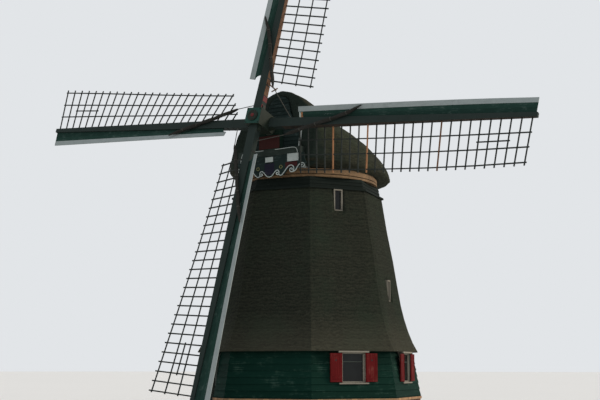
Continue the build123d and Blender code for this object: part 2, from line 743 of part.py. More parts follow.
def wind_board(offset):
    """The board along the arm's leading side, cut to a quarter round beside the stock at its inner end."""
    places = stepped(BOARD_FOOT, SAIL_RADIUS * BOARD_HEAD, BOARD_SPANS)
    edges = [between(BOARD_EDGE_ROOT, BOARD_EDGE_TIP, u / SAIL_RADIUS) for u in places]
    board = strip(offset, [0] * len(places), edges, BOARD_THICK, places) - stock(offset)
    notch = Pos(BOARD_FOOT, STOCK_WIDTH / 2, offset) * Cylinder(BOARD_NOTCH, STOCK_WIDTH)
    return board - notch


def stock_face(u):
    """Half the stock's depth at a distance along the arm."""
    return between(STOCK_DEPTH, TIP_DEPTH, u / SAIL_RADIUS) / 2


def board_face(u, v):
    """Height of the wind board's front over the stock's middle, at a place beside the arm."""
    a = radians(twist(u))
    return v * tan(a) + BOARD_THICK / 2 / cos(a)


def roll_head(offset):
    """The upper end of the furled cloth, on the lattice side of its arm."""
    u, v = ROLL_PATH[0]
    return (u, v, offset + ROLL_RADIUS + SEAT + stock_face(u))


def roll(offset):
    """The furled sail cloth: a thick roll that lies along the stock's front, then rises over the boards."""
    rest = offset + ROLL_RADIUS + SEAT
    foot = ROLL_PATH[-1]
    points = [roll_head(offset)]
    points += [(u, v, rest + stock_face(u)) for u, v in ROLL_PATH[1:-1]]
    points.append((*foot, rest + board_face(*foot) + ROLL_CLEAR))
    path = FilletPolyline(*points, radius=[ROLL_BEND, ROLL_BEND])
    across = (path % 0).cross(Vector(0, 0, 1))
    face = Plane(origin=path @ 0, x_dir=across, z_dir=path % 0)
    octagon = RegularPolygon(ROLL_RADIUS, ROLL_SIDES, major_radius=False, rotation=180 / ROLL_SIDES)
    return sweep(face * octagon, path)


def rope(offset, along):
    """The taut rope from a roll's upper end to the leading edge of the next stock, for an arm along X."""
    head = Vector(*roll_head(offset))
    end = Vector(0, -along, -offset)
    run = end - head
    tube = Plane(origin=head, z_dir=run) * (Pos(0, 0, run.length / 2) * Cylinder(ROPE_RADIUS, run.length))
    next_stock = Rot(0, 0, -90) * stock(-offset, SEAT)
    return tube - next_stock - roll(offset)


def wedge(hand):
    """A wedge between the poll end and one edge of a stock, for an arm that points along X."""
    start = POLL_SIZE / 2
    side = STOCK_WIDTH / 2 + WEDGE_THICK
    end = start + WEDGE_LONG
    tip = side - WEDGE_THICK + WEDGE_TIP
    outline = Polygon((start, 0), (end, 0), (end, hand * tip), (start, hand * side), align=None)
    return extrude(outline, WEDGE_DEEP / 2, both=True)


def make_rotor():
    names = ["right", "top", "left", "low"]
    offsets = {"right": -STOCK_OFFSET, "left": -STOCK_OFFSET, "top": STOCK_OFFSET, "low": STOCK_OFFSET}
    turns = {name: ROTOR_TURN + 90 * i for i, name in enumerate(names)}
    save("stock_rear", ROTOR * (Rot(0, 0, turns["right"]) * stock(-STOCK_OFFSET)))
    save("stock_front", ROTOR * (Rot(0, 0, turns["top"]) * stock(STOCK_OFFSET)))
    for name in names:
        turn = Rot(0, 0, turns[name])
        save(f"lattice_{name}", ROTOR * (turn * lattice(offsets[name], CUT_BACK.get(name, 0))))
        save(f"wind_board_{name}", ROTOR * (turn * wind_board(offsets[name])))
        save(f"cloth_roll_{name}", ROTOR * (turn * roll(offsets[name])))
    ropes = [ROTOR * (Rot(0, 0, turns[name]) * rope(offsets[name], ROPE_ENDS[name])) for name in names]
    save("sail_ropes", Compound(children=ropes))
    poll = Pos(0, 0, (POLL_FRONT - POLL_REAR) / 2) * Box(POLL_SIZE, POLL_SIZE, POLL_FRONT + POLL_REAR)
    poll += Pos(0, 0, POLL_FRONT + POLL_BOSS_LONG / 2) * Cylinder(POLL_BOSS, POLL_BOSS_LONG)
    poll = Rot(0, 0, ROTOR_TURN) * poll
    mouths = [Rot(0, 0, turns[name]) * stock(offsets[name], SEAT) for name in ("right", "top")]
    save("poll_end", ROTOR * (poll - mouths[0] - mouths[1]))
    wedges = []
    for name in names:
        mouth = mouths[names.index(name) % 2]
        for hand in (-1, 1):
            piece = Rot(0, 0, turns[name]) * (Pos(SEAT, 0, offsets[name]) * wedge(hand))
            wedges.append(ROTOR * (piece - mouth))
    save("poll_wedges", Compound(children=wedges))
    shaft = Pos(0, 0, -(POLL_REAR + JOURNAL_FRONT) / 2) * Cylinder(SHAFT_RADIUS, JOURNAL_FRONT - POLL_REAR)
    shaft += Pos(0, 0, -(JOURNAL_FRONT + SHAFT_REAR) / 2) * Cylinder(JOURNAL_RADIUS, SHAFT_REAR - JOURNAL_FRONT)
    save("windshaft", ROTOR * shaft)


make_plinth()
make_base_walls()
make_floor()
make_door()
make_windows()
make_smock()
make_collar()
make_curb()
make_cap()
make_front_boards()
make_cap_beams()
make_beard()
make_rotor()
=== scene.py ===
import bmesh
import bpy
import json
import random
from math import atan2, cos, pi, radians, sin, tan
from mathutils import Matrix, Vector, noise


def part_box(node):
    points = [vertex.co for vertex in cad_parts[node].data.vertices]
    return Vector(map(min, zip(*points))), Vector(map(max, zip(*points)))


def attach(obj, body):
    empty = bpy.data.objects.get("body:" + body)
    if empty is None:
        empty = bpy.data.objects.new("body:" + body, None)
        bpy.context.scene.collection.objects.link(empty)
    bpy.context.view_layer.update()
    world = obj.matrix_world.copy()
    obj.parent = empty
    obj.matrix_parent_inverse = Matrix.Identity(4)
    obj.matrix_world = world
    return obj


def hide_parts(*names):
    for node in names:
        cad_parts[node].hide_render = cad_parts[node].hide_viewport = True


# A thatched smock mill, in metres. Z is up, the sails face -Y and the cap turns about the Z axis.

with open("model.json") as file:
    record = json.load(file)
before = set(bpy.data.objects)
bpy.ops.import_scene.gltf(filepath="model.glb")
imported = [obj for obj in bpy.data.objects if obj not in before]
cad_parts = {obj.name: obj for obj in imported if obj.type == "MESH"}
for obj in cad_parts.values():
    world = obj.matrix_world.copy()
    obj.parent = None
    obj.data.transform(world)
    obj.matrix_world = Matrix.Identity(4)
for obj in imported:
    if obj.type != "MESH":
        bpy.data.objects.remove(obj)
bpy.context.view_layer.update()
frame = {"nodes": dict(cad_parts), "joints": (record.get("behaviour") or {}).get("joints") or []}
random.seed(7)


# Sizes: heights and fronts are read from the solids, the others repeat the model's own

def foot_of(node):
    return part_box(node)[0][2]


def head_of(node):
    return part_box(node)[1][2]


def front_of(node):
    """How far a node reaches forward, towards the sails."""
    return -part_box(node)[0][1]


def flat(corner):
    """Distance of an eight-sided ring's flat sides, from the distance of its corners."""
    return corner * cos(radians(22.5))


def between(low, high, share):
    return low + (high - low) * share


# The tower's sides are counted from the front left one, towards the right

SIDES = 8
FRONT_RIGHT, RIGHT, REAR_RIGHT, REAR_LEFT, ENTRANCE = 1, 2, 3, 5, 7
TOWER_TURN = 8.6
WINDOW_SIDES = (FRONT_RIGHT, RIGHT, REAR_LEFT)
HALF_STEP = tan(radians(22.5))

PLINTH_TOP = foot_of("plinth_coping")
BASE_BOTTOM = head_of("plinth_coping")
EAVE = head_of("base_wall_right")
COLLAR_FOOT = foot_of("collar")
CURB_FOOT = foot_of("curb_ring")
PLINTH_FACE = flat(4.110)
COPING_FACE = PLINTH_FACE + 0.050
BASE_CORNERS = (4.110, 3.830)
COLLAR_CORNERS = (2.710, 2.640)
THATCH = [(EAVE, 4.050), (2.600, 3.870), (3.000, 3.710), (3.450, 3.570), (3.950, 3.450), (4.700, 3.320),
          (5.600, 3.180), (6.700, 2.970), (COLLAR_FOOT, 2.770)]
SLIT_SILLS = {FRONT_RIGHT: 7.160, RIGHT: 4.050, ENTRANCE: 3.510, REAR_LEFT: 7.160, REAR_RIGHT: 4.050}
SLIT_HALF = 0.165
SLIT_TALL = 0.770

FRAME_FACE = 3.720
DOOR_HALF = 0.510
DOOR_FACE = FRAME_FACE - 0.280
DOORSTEP = 0.190
WINDOW_HALF = 0.475
SILL_FOOT = foot_of("window_frames")
WINDOW_SILL = foot_of("window_glass")
WINDOW_HEAD = 2.2097
HINGE_LINE = 0.450
SHUTTER_FACE = FRAME_FACE + 0.061

BRICK_ROWS = 10
BRICK_PITCH = 0.220
BRICK_JOINT = 0.005
COPING_PITCH = 0.210
COPING_JOINT = 0.004
SMALLEST_BRICK = 0.020
FIRST_BOARD = 0.716
BOARD_PITCH = 0.223

BEAM_FRONT = front_of("weather_beam")
BEAM_TOP = head_of("weather_beam")
BEAM_FOOT = foot_of("weather_beam")
BEAM_END = 0.975
BEARD_FACE = BEAM_FRONT - 0.020
CAP_FRONT = front_of("cap_front_wall")
FRONT_EDGE = [(1.090, 0), (1.090, 0.640), (0.900, 0.820), (0.690, 1.150), (0.520, 1.450), (0.440, 1.750),
              (0.370, 1.970), (0.210, 2.120), (0, 2.170)]
TAIL_PLUG = ((-0.580, 3.400, 8.620), (0.580, 3.655, 8.950))

SPIN = next(joint for joint in frame["joints"] if joint["name"] == "sails_spin")
SHAFT_AXIS = Vector(SPIN["axis"])
HUB = Vector(SPIN["pos_m"])
SAIL = 10.0
BOARD_END = SAIL * 0.994
ROTOR_TURN = -5.4
ARMS = {"right": (0, -0.238), "top": (90, 0.238), "left": (180, -0.238), "low": (270, 0.238)}
STOCK_WIDE = (0.343, 0.150)
STOCK_DEEP = (0.270, 0.120)
BARS = 26
FIRST_BAR = 0.984
BAR_PITCH = 0.0334
TWIST_TIP, TWIST_RISE, TWIST_EASE = -5, 43, 14
BOARD_START = 1.450
NOTCH = 0.200
EDGE_PLANK = 0.178
TRAILING_EDGE = -1.738
BATTENS = [1.85 + 0.96 * k for k in range(9)]
BOARD_LENGTHS = (("root", None, 4.300), ("middle", 4.303, 7.150), ("tip", 7.153, BOARD_END))
STOCK_LENGTHS = (("root", 0.860, 3.900), ("middle", 3.900, 7.000), ("tip", 7.000, BOARD_END))

ROLL = 0.075
ROLL_PATH = [(1.095, -0.533), (2.142, -0.181), (3.285, 0.167), (3.950, 0.457)]
ROLL_TIES = (0.2, 0.4, 0.6, 0.8)
ROPE = 0.028
ROPE_ENDS = {"right": 0.900, "top": 1.250, "left": 0.550, "low": 1.100}

PHOTO_WIDTH = 600
FOCAL_PIXELS = 1053.27
TOWER_COLUMN = 307.859
EYE = Vector((19.2402, -34.0430, 1.700))
LOOK_AZIMUTH = 29.474
LOOK_PITCH = 9.056
FILM_WIDTH = 36


# Places

def wall_place(side):
    """The frame of one side of the tower: X along the wall, -Y outwards, Z up."""
    return Matrix.Rotation(radians(TOWER_TURN + 45 * side), 4, "Z")


def base_face(z):
    return flat(between(*BASE_CORNERS, (z - BASE_BOTTOM) / (EAVE - BASE_BOTTOM)))


def collar_face(z):
    return flat(between(*COLLAR_CORNERS, (z - COLLAR_FOOT) / (CURB_FOOT - COLLAR_FOOT)))


def thatch_corner(z):
    for (low, r_low), (high, r_high) in zip(THATCH, THATCH[1:]):
        if z <= high:
            return between(r_low, r_high, (z - low) / (high - low))
    return THATCH[-1][1]


def columns(x, y, z, origin):
    return Matrix.Translation(origin) @ Matrix((x, y, z)).transposed().to_4x4()


ACROSS = Vector((1, 0, 0))
SHAFT_UP = SHAFT_AXIS.cross(ACROSS)
ROTOR = columns(ACROSS, SHAFT_UP, SHAFT_AXIS, HUB)
CAP_FACE = columns(ACROSS, SHAFT_UP, SHAFT_AXIS, Vector((0, -CAP_FRONT, BEAM_TOP)))


def arm_place(name):
    """The frame of one sail: X out along its stock, Y towards the wind board, Z out of the sails' plane."""
    turn, offset = ARMS[name]
    return ROTOR @ Matrix.Rotation(radians(ROTOR_TURN + turn), 4, "Z") @ Matrix.Translation((0, 0, offset))


def bar_place(k):
    """Distance of a bar along the arm, counted from the tip."""
    return SAIL * (FIRST_BAR - BAR_PITCH * k)


def twist(u):
    """Angle of the sail's bars to the plane that the sails turn in, at a distance along the arm."""
    share = (bar_place(0) - u) / (bar_place(0) - bar_place(BARS - 1))
    share = max(0.0, min(1.0, share))
    return radians(TWIST_TIP + TWIST_RISE * share - TWIST_EASE * share * share)


def on_bar(u, v, proud):
    """A point of the twisted sail: v across the arm along the bars, proud in front of them."""
    a = twist(u)
    return Vector((u, v * cos(a) - proud * sin(a), v * sin(a) + proud * cos(a)))


def stock_half(u):
    """Half the stock's width and half its depth, at a distance along the arm."""
    return between(*STOCK_WIDE, u / SAIL) / 2, between(*STOCK_DEEP, u / SAIL) / 2


def beside_stock(u):
    """Where the bars leave the stock, measured along them."""
    return stock_half(u)[0] / cos(twist(u))


def stand(name, data):
    """An object that holds a mesh, a curve, a lamp or a lens."""
    thing = bpy.data.objects.new(name, data)
    bpy.context.scene.collection.objects.link(thing)
    return thing


# Camera

def place_camera():
    """The photograph's own viewpoint, turned so that the tower's axis crosses its column of the picture."""
    azimuth = radians(LOOK_AZIMUTH)
    pitch = radians(LOOK_PITCH)
    aside = atan2(PHOTO_WIDTH / 2 - TOWER_COLUMN, FOCAL_PIXELS)
    ahead = Vector((-sin(azimuth), cos(azimuth), 0))
    across = Vector((cos(azimuth), sin(azimuth), 0))
    level = cos(aside) * ahead + sin(aside) * across
    right = Vector((level.y, -level.x, 0))
    view = cos(pitch) * level + sin(pitch) * Vector((0, 0, 1))
    lens = bpy.data.cameras.new("camera")
    lens.sensor_width = FILM_WIDTH
    lens.lens = FOCAL_PIXELS * FILM_WIDTH / PHOTO_WIDTH
    lens.clip_end = 500
    camera = stand("camera", lens)
    camera.matrix_world = columns(right, right.cross(view), -view, EYE)
    bpy.context.scene.camera = camera


# Finishes

class Value:
    """A socket that adds up in Python expressions."""

    def __init__(self, nodes, socket):
        self.nodes = nodes
        self.socket = socket

    def math(self, operation, first, second):
        return self.nodes.node("ShaderNodeMath", {"operation": operation}, {0: first, 1: second})

    def __add__(self, other):
        return self.math("ADD", self, other)

    def __radd__(self, other):
        return self.math("ADD", other, self)

    def __sub__(self, other):
        return self.math("SUBTRACT", self, other)

    def __rsub__(self, other):
        return self.math("SUBTRACT", other, self)

    def __mul__(self, other):
        return self.math("MULTIPLY", self, other)

    def __rmul__(self, other):
        return self.math("MULTIPLY", other, self)


class Nodes:
    """A node tree, filled one node at a time."""

    def __init__(self, tree):
        self.tree = tree

    def node(self, kind, settings, inputs, output=0):
        node = self.tree.nodes.new(kind)
        for key, value in settings.items():
            setattr(node, key, value)
        for key, value in inputs.items():
            if isinstance(value, Value):
                self.tree.links.new(value.socket, node.inputs[key])
            else:
                node.inputs[key].default_value = value
        return Value(self, node.outputs[output]) if node.outputs else None


def paint(red, green, blue):
    """A colour as it looks, 0 to 255, turned into the light that it returns."""
    light = [c / 255 for c in (red, green, blue)]
    return tuple(c / 12.92 if c <= 0.04045 else ((c + 0.055) / 1.055) ** 2.4 for c in light) + (1.0,)


class Finish(Nodes):
    """One material, built up from its nodes."""

    def __init__(self, name, roughness=0.8, gloss=0.15):
        self.material = bpy.data.materials.new(name)
        self.material.use_nodes = True
        super().__init__(self.material.node_tree)
        self.shader = self.tree.nodes["Principled BSDF"]
        self.shader.inputs["Roughness"].default_value = roughness
        self.shader.inputs["Specular IOR Level"].default_value = gloss

    def put(self, name, value):
        self.tree.links.new(value.socket, self.shader.inputs[name])

    def here(self, scale=(1, 1, 1)):
        """Place on the object, stretched by a scale along each of its own axes."""
        spot = self.node("ShaderNodeTexCoord", {}, {}, "Object")
        return self.node("ShaderNodeVectorMath", {"operation": "MULTIPLY"}, {0: spot, 1: scale})

    def cloud(self, scale, detail, roughness, stretch=(1, 1, 1)):
        return self.node("ShaderNodeTexNoise", {}, {"Vector": self.here(stretch), "Scale": scale,
                                                    "Detail": detail, "Roughness": roughness})

    def each(self):
        """A number that differs from board to board."""
        return self.node("ShaderNodeNewGeometry", {}, {}, "Random Per Island")

    def blend(self, factor, first, second):
        """From the first colour to the second, as the factor goes from 0 to 1."""
        first, second = (paint(*c) if isinstance(c, tuple) else c for c in (first, second))
        return self.node("ShaderNodeMix", {"data_type": "RGBA"}, {0: factor, 6: first, 7: second}, 2)

    def shade(self, colour, amount):
        """A colour made lighter or darker by a number."""
        if isinstance(colour, tuple):
            colour = paint(*colour)[:3]
        return self.node("ShaderNodeVectorMath", {"operation": "SCALE"}, {0: colour, "Scale": amount})

    def steps(self, factor, low, high):
        """From 0 at low to 1 at high, held outside."""
        return self.node("ShaderNodeMapRange", {"clamp": True}, {0: factor, 1: low, 2: high, 3: 0.0, 4: 1.0})

    def part(self, vector, axis):
        """One coordinate of a vector: 0, 1 or 2."""
        return self.node("ShaderNodeSeparateXYZ", {}, {0: vector}, axis)

    def bump(self, height, depth, strength):
        self.put("Normal", self.node("ShaderNodeBump", {}, {"Height": height, "Distance": depth,
                                                            "Strength": strength}))


def painted_wood(name, colour, worn, grain=(1.5, 40, 40), spread=0.35, wear=0.62):
    """Oil paint on boards: grain under the paint, each board a little different, worn places paler."""
    f = Finish(name, gloss=0.03)
    lines = f.cloud(1.0, 4, 0.6, grain)
    patches = f.cloud(2.6, 4, 0.65)
    tone = 1 - spread / 2 + spread * f.each() + (lines - 0.5) * 0.35 + (patches - 0.5) * 0.5
    bare = f.steps(lines * 0.55 + patches * 0.6, wear, wear + 0.14)
    f.put("Base Color", f.blend(bare * 0.6, f.shade(colour, tone), worn))
    f.put("Roughness", 0.55 + 0.25 * patches)
    f.bump(lines + patches * 0.4, 0.003, 0.6)
    return f.material


def brickwork(name, colour, burnt):
    """Fired bricks, each of its own colour, gritty and stained."""
    f = Finish(name, 0.9)
    grit = f.cloud(90, 4, 0.7)
    stain = f.cloud(1.3, 4, 0.6)
    kiln = f.blend(f.each(), colour, burnt)
    f.put("Base Color", f.shade(kiln, 0.7 + grit * 0.35 + stain * 0.3))
    f.bump(grit, 0.003, 0.8)
    return f.material


def mortar(name, colour):
    f = Finish(name, 0.95)
    grit = f.cloud(60, 5, 0.75)
    f.put("Base Color", f.shade(colour, 0.7 + grit * 0.6))
    f.bump(grit, 0.003, 0.8)
    return f.material


def reed_thatch(name, colour, dark, moss, verge=None):
    """Reed laid in courses: fine stalks down the slope, level rows, moss in patches, a paler worn skirt."""
    f = Finish(name, 0.97, 0.04)
    stalks = f.cloud(1.0, 5, 0.75, (55, 55, 3.5))
    tufts = f.cloud(7.0, 5, 0.7, (1, 1, 2.2))
    courses, rows = [f.node("ShaderNodeTexWave", {"bands_direction": "Z", "wave_profile": "SAW"},
                            {"Vector": f.here(), "Scale": scale, "Distortion": wander, "Detail": 3.0,
                             "Detail Scale": 1.6}, "Fac") for scale, wander in ((1.05, 3.0), (2.7, 8.0))]
    weather = f.cloud(0.55, 5, 0.65)
    green = f.steps(weather * 0.7 + tufts * 0.3, 0.46, 0.64)
    straw = f.blend(f.steps(stalks * 0.50 + tufts * 0.4 + rows * 0.10, 0.36, 0.66), dark, colour)
    straw = f.blend(green * 0.7, straw, moss)
    skirt = f.steps(0 - f.part(f.here(), 2) + tufts * 0.6, -3.3, -1.9)
    straw = f.blend(skirt * 0.3, straw, (84, 80, 68))
    if verge:
        front = 0 - f.part(f.node("ShaderNodeTexCoord", {}, {}, "Normal"), 1)
        straw = f.blend(f.steps(front + 0.2 * tufts, 0.62, 0.86), straw, verge)
    f.put("Base Color", f.shade(straw, 0.62 + 0.46 * weather + 0.12 * courses + 0.12 * rows + 0.16 * stalks))
    f.bump(stalks * 0.7 + tufts * 0.8 + courses * 0.4 + rows * 0.25, 0.035, 0.9)
    return f.material


def bare_wood(name, colour, dark, grain=(2, 50, 50)):
    f = Finish(name, 0.75)
    lines = f.cloud(1.0, 5, 0.7, grain)
    stain = f.cloud(1.8, 4, 0.6)
    wood = f.blend(f.steps(lines * 0.7 + stain * 0.3, 0.35, 0.65), dark, colour)
    f.put("Base Color", f.shade(wood, 0.8 + 0.25 * f.each() + 0.25 * stain))
    f.bump(lines, 0.003, 0.7)
    return f.material


def painted_iron(name, colour, rust, roughness=0.42, spots=0.66):
    """Paint on iron, rusty where it has worn through."""
    f = Finish(name, roughness)
    skin = f.cloud(45, 4, 0.6)
    stain = f.cloud(2.2, 5, 0.7)
    rusty = f.steps(stain * 0.75 + skin * 0.25, spots, spots + 0.1)
    f.put("Base Color", f.blend(rusty * 0.7, f.shade(colour, 0.75 + 0.5 * stain), rust))
    f.put("Roughness", roughness + 0.35 * rusty + 0.15 * skin)
    f.bump(skin + rusty * 0.5, 0.0015, 0.6)
    return f.material


def window_pane(name):
    """Old glass in front of a dark room: the pane's dark colour is painted shade of the unlit room behind
    it.
    """
    f = Finish(name, 0.08, 0.22)
    waves = f.cloud(2.5, 2, 0.5)
    f.put("Base Color", f.blend(waves, (9, 11, 11), (25, 28, 28)))
    f.bump(waves, 0.004, 0.3)
    return f.material


def canvas(name, colour, dark):
    """Tarred sailcloth rolled up tight."""
    f = Finish(name, 0.9)
    weave = f.cloud(220, 2, 0.5)
    folds = f.cloud(1.0, 4, 0.7, (2.5, 22, 22))
    f.put("Base Color", f.shade(f.blend(folds, dark, colour), 0.75 + 0.5 * weave))
    f.bump(folds + weave * 0.25, 0.006, 0.8)
    return f.material


def laid_rope(name, colour, dark):
    f = Finish(name, 0.9)
    strands = f.node("ShaderNodeTexWave", {"bands_direction": "DIAGONAL"},
                     {"Vector": f.here(), "Scale": 22.0, "Distortion": 0.6, "Detail": 1.0}, "Fac")
    fuzz = f.cloud(160, 3, 0.7)
    f.put("Base Color", f.shade(f.blend(strands, dark, colour), 0.7 + 0.6 * fuzz))
    f.bump(strands + fuzz * 0.4, 0.003, 0.8)
    return f.material


GRAIN_UP = (40, 40, 1.5)
GRAIN_OUT = (3, 30, 30)

# The solids' own slots

FINISHES = {
    "brick": mortar("mortar", (112, 104, 92)),
    "coping": mortar("coping_mortar", (126, 116, 100)),
    "boards_green": painted_wood("tower_boards_green", (10, 36, 29), (60, 80, 71), wear=0.64),
    "floor_wood": bare_wood("floor_deal", (120, 100, 76), (78, 62, 46)),
    "frame_cream": painted_wood("frame_cream", (122, 118, 108), (86, 78, 68), (20, 20, 20), 0.1),
    "post_grey": painted_wood("post_grey", (62, 68, 63), (46, 48, 42), GRAIN_UP, 0.15),
    "door_green": painted_wood("door_green", (30, 42, 35), (56, 66, 58), GRAIN_UP),
    "shutter_red": painted_wood("shutter_red", (84, 21, 22), (108, 66, 58), GRAIN_UP, 0.2),
    "glass": window_pane("window_pane"),
    "thatch": reed_thatch("reed_thatch", (52, 53, 44), (23, 28, 24), (33, 43, 34)),
    "tar": painted_wood("tarred_boards", (27, 33, 30), (58, 63, 59), wear=0.68),
    "oak": bare_wood("curb_oak", (126, 100, 72), (74, 60, 44), (8, 8, 50)),
    "cap_green": painted_wood("cap_boards_green", (33, 44, 42), (82, 94, 92), spread=0.3),
    "panel_red": painted_wood("panel_red", (58, 34, 32), (46, 38, 36), GRAIN_UP, 0.15),
    "beam_grey": painted_wood("beam_grey_green", (44, 52, 48), (82, 90, 86), spread=0.15),
    "white": painted_wood("white_paint", (164, 172, 168), (116, 122, 118), spread=0.1, wear=0.66),
    "iron_green": painted_iron("cast_iron_green", (29, 37, 30), (58, 46, 34)),
    "shaft_iron": painted_iron("windshaft_iron", (50, 56, 50), (74, 56, 42)),
    "stock_blue": painted_iron("stock_green_black", (31, 41, 38), (58, 54, 48), 0.6, 0.70),
    "lattice_dark": bare_wood("lattice_dark", (42, 47, 44), (25, 28, 26), (20, 20, 20)),
    "board_green": painted_wood("wind_board_green", (32, 54, 48), (80, 92, 88), GRAIN_OUT),
    "rope": laid_rope("sail_rope", (84, 84, 78), (42, 42, 38)),
    "sail_cloth": canvas("sail_cloth", (48, 47, 43), (26, 26, 24)),
}

# Finishes of the pieces that are made here

FINISHES |= {
    # The cap's reed is a lighter copy of the smock's: painted light from the sky on the cap's upward-facing
    # slopes.
    "cap_thatch": reed_thatch("cap_reed_thatch_painted_light", (60, 59, 48), (28, 32, 27), (40, 48, 37),
                              (37, 45, 40)),
    "brick_red": brickwork("brick_red", (104, 70, 56), (72, 52, 46)),
    "brick_buff": brickwork("brick_buff", (160, 124, 90), (126, 96, 72)),
    "strip_pale": painted_wood("wind_board_pale", (142, 150, 149), (98, 106, 104), GRAIN_OUT, 0.12),
    "fresh_pine": bare_wood("bar_of_fresh_pine", (156, 112, 78), (120, 82, 54)),
    # The orange on the top stock's trailing side is painted sunlight, and the dark brown on the other
    # stocks' trailing sides is painted shade of the same side paint.
    "stock_bare": bare_wood("stock_side_bare", (112, 82, 60), (76, 55, 42), (2, 30, 30)),
    "stock_tarred": bare_wood("stock_side_tarred", (58, 50, 43), (38, 36, 33), (2, 30, 30)),
    "red_band": painted_iron("red_band", (92, 34, 34), (58, 40, 34)),
    "white_band": painted_iron("white_band", (168, 158, 152), (106, 92, 80)),
    "yellow_line": painted_iron("yellow_line", (124, 124, 78), (84, 76, 50)),
    "teal": painted_iron("poll_teal", (24, 58, 50), (58, 56, 46)),
    "black_iron": painted_iron("black_iron", (34, 36, 36), (86, 60, 42), 0.5),
    "field_violet": painted_wood("beard_violet", (36, 36, 48), (52, 50, 54), spread=0.1),
    "field_red": painted_wood("beard_red", (62, 34, 34), (56, 44, 42), spread=0.1),
    "dark_green": painted_wood("bearing_green", (26, 42, 35), (50, 62, 54), spread=0.1),
}


# Making and placing

def loft(bm, rings):
    """A closed skin over a row of outlines with the same number of points."""
    rows = skin(bm, rings)
    bm.faces.new(list(reversed(rows[0])))
    bm.faces.new(rows[-1])


def skin(bm, rings, closed=False):
    """Faces from each outline to the next, and back to the first when the row closes on itself."""
    rows = [[bm.verts.new(p) for p in ring] for ring in rings]
    for near, far in zip(rows, rows[1:] + (rows[:1] if closed else [])):
        for i in range(len(near)):
            j = (i + 1) % len(near)
            bm.faces.new((near[i], near[j], far[j], far[i]))
    return rows


def block(bm, low, high):
    (x0, y0, z0), (x1, y1, z1) = low, high
    loft(bm, [[(x0, y0, z), (x1, y0, z), (x1, y1, z), (x0, y1, z)] for z in (z0, z1)])


def circle(middle, radius, count, across, up):
    """Points round a middle, in the plane of across and up."""
    turns = [2 * pi * k / count for k in range(count)]
    return [middle + radius * (cos(a) * across + sin(a) * up) for a in turns]


def tube(bm, points, radius, sides=8, closed=False):
    """A round bar along points, turning as little as it can from one to the next."""
    points = [Vector(p) for p in points]
    last = len(points) - 1
    rings = []
    normal = None
    for i, p in enumerate(points):
        if closed:
            along = (points[(i + 1) % len(points)] - points[i - 1]).normalized()
        else:
            along = (points[min(i + 1, last)] - points[max(i - 1, 0)]).normalized()
        if normal is None:
            normal = along.orthogonal().normalized()
        normal = (normal - along * normal.dot(along)).normalized()
        rings.append(circle(p, radius, sides, normal, along.cross(normal)))
    if closed:
        skin(bm, rings, True)
    else:
        loft(bm, rings)


def solid(name, bm):
    mesh = bpy.data.meshes.new(name)
    bm.to_mesh(mesh)
    bm.free()
    return stand(name, mesh)


def coat(mesh, finish, smooth):
    mesh.materials.append(FINISHES[finish])
    for face in mesh.polygons:
        face.use_smooth = smooth


def piece(name, bm, finish, body, place=Matrix(), smooth=False, bevel=0.0):
    """A finished piece of the mill, in its own frame, riding on the body that carries it."""
    bmesh.ops.recalc_face_normals(bm, faces=bm.faces)
    thing = solid(name, bm)
    coat(thing.data, finish, smooth)
    thing.matrix_world = place
    if bevel:
        edge = thing.modifiers.new("arris", "BEVEL")
        edge.width = bevel
        edge.segments = 1
        edge.limit_method = "ANGLE"
    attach(thing, body)
    return thing


# Ropes and furled cloths

def roll_line():
    """The middle line of a furled cloth, in its arm's frame."""
    line = [Vector((u, v, ROLL + 0.0003 + stock_half(u)[1])) for u, v in ROLL_PATH[:-1]]
    u, v = ROLL_PATH[-1]
    a = twist(u)
    return line + [Vector((u, v, ROLL + 0.0253 + v * tan(a) + 0.013 / cos(a)))]


def rope_line(name):
    """From a cloth's upper end straight to the leading edge of the next stock, in the arm's frame."""
    head = roll_line()[0]
    along = ROPE_ENDS[name]
    end = Vector((0, -along, -2 * ARMS[name][1]))
    half, deep = stock_half(along)
    at_side = 1 - half / head.x
    at_face = 1 - deep / abs(head.z - end.z)
    return head, head.lerp(end, max(at_side, at_face) - 0.001)


def sail_rope(name):
    """A taut rope, with one more point six diameters from the cloth and one as far from the stock."""
    place = arm_place(name)
    head, end = [place @ p for p in rope_line(name)]
    reach = (end - head).normalized() * 6 * ROPE
    spots = [head, head + reach, end - reach, end]
    curve = bpy.data.curves.new(f"rope_{name}", "CURVE")
    curve.dimensions = "3D"
    curve.bevel_depth = ROPE / 2
    curve.bevel_resolution = 3
    curve.use_fill_caps = True
    line = curve.splines.new("NURBS")
    line.points.add(len(spots) - 1)
    for point, spot in zip(line.points, spots):
        point.co = (*spot, 1)
    line.order_u = 3
    line.use_endpoint_u = True
    rope = stand(f"rope_{name}", curve)
    curve.materials.append(FINISHES["rope"])
    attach(rope, "rotor")
    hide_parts("sail_ropes")
    (end - head).length


def smooth_line(points, count, bend):
    """Points along straight runs whose corners are eased by averaging over a length."""
    runs = [(b - a).length for a, b in zip(points, points[1:])]
    total = sum(runs)

    def at(s):
        s = max(0.0, min(total, s))
        for a, b, run in zip(points, points[1:], runs):
            if s <= run:
                return a.lerp(b, s / run)
            s -= run
        return points[-1]

    line = []
    for i in range(count):
        s = total * i / (count - 1)
        reach = min(bend, s, total - s)
        near = [at(s + reach * k / 6) for k in range(-6, 7)]
        line.append(sum(near, Vector()) / len(near))
    return line


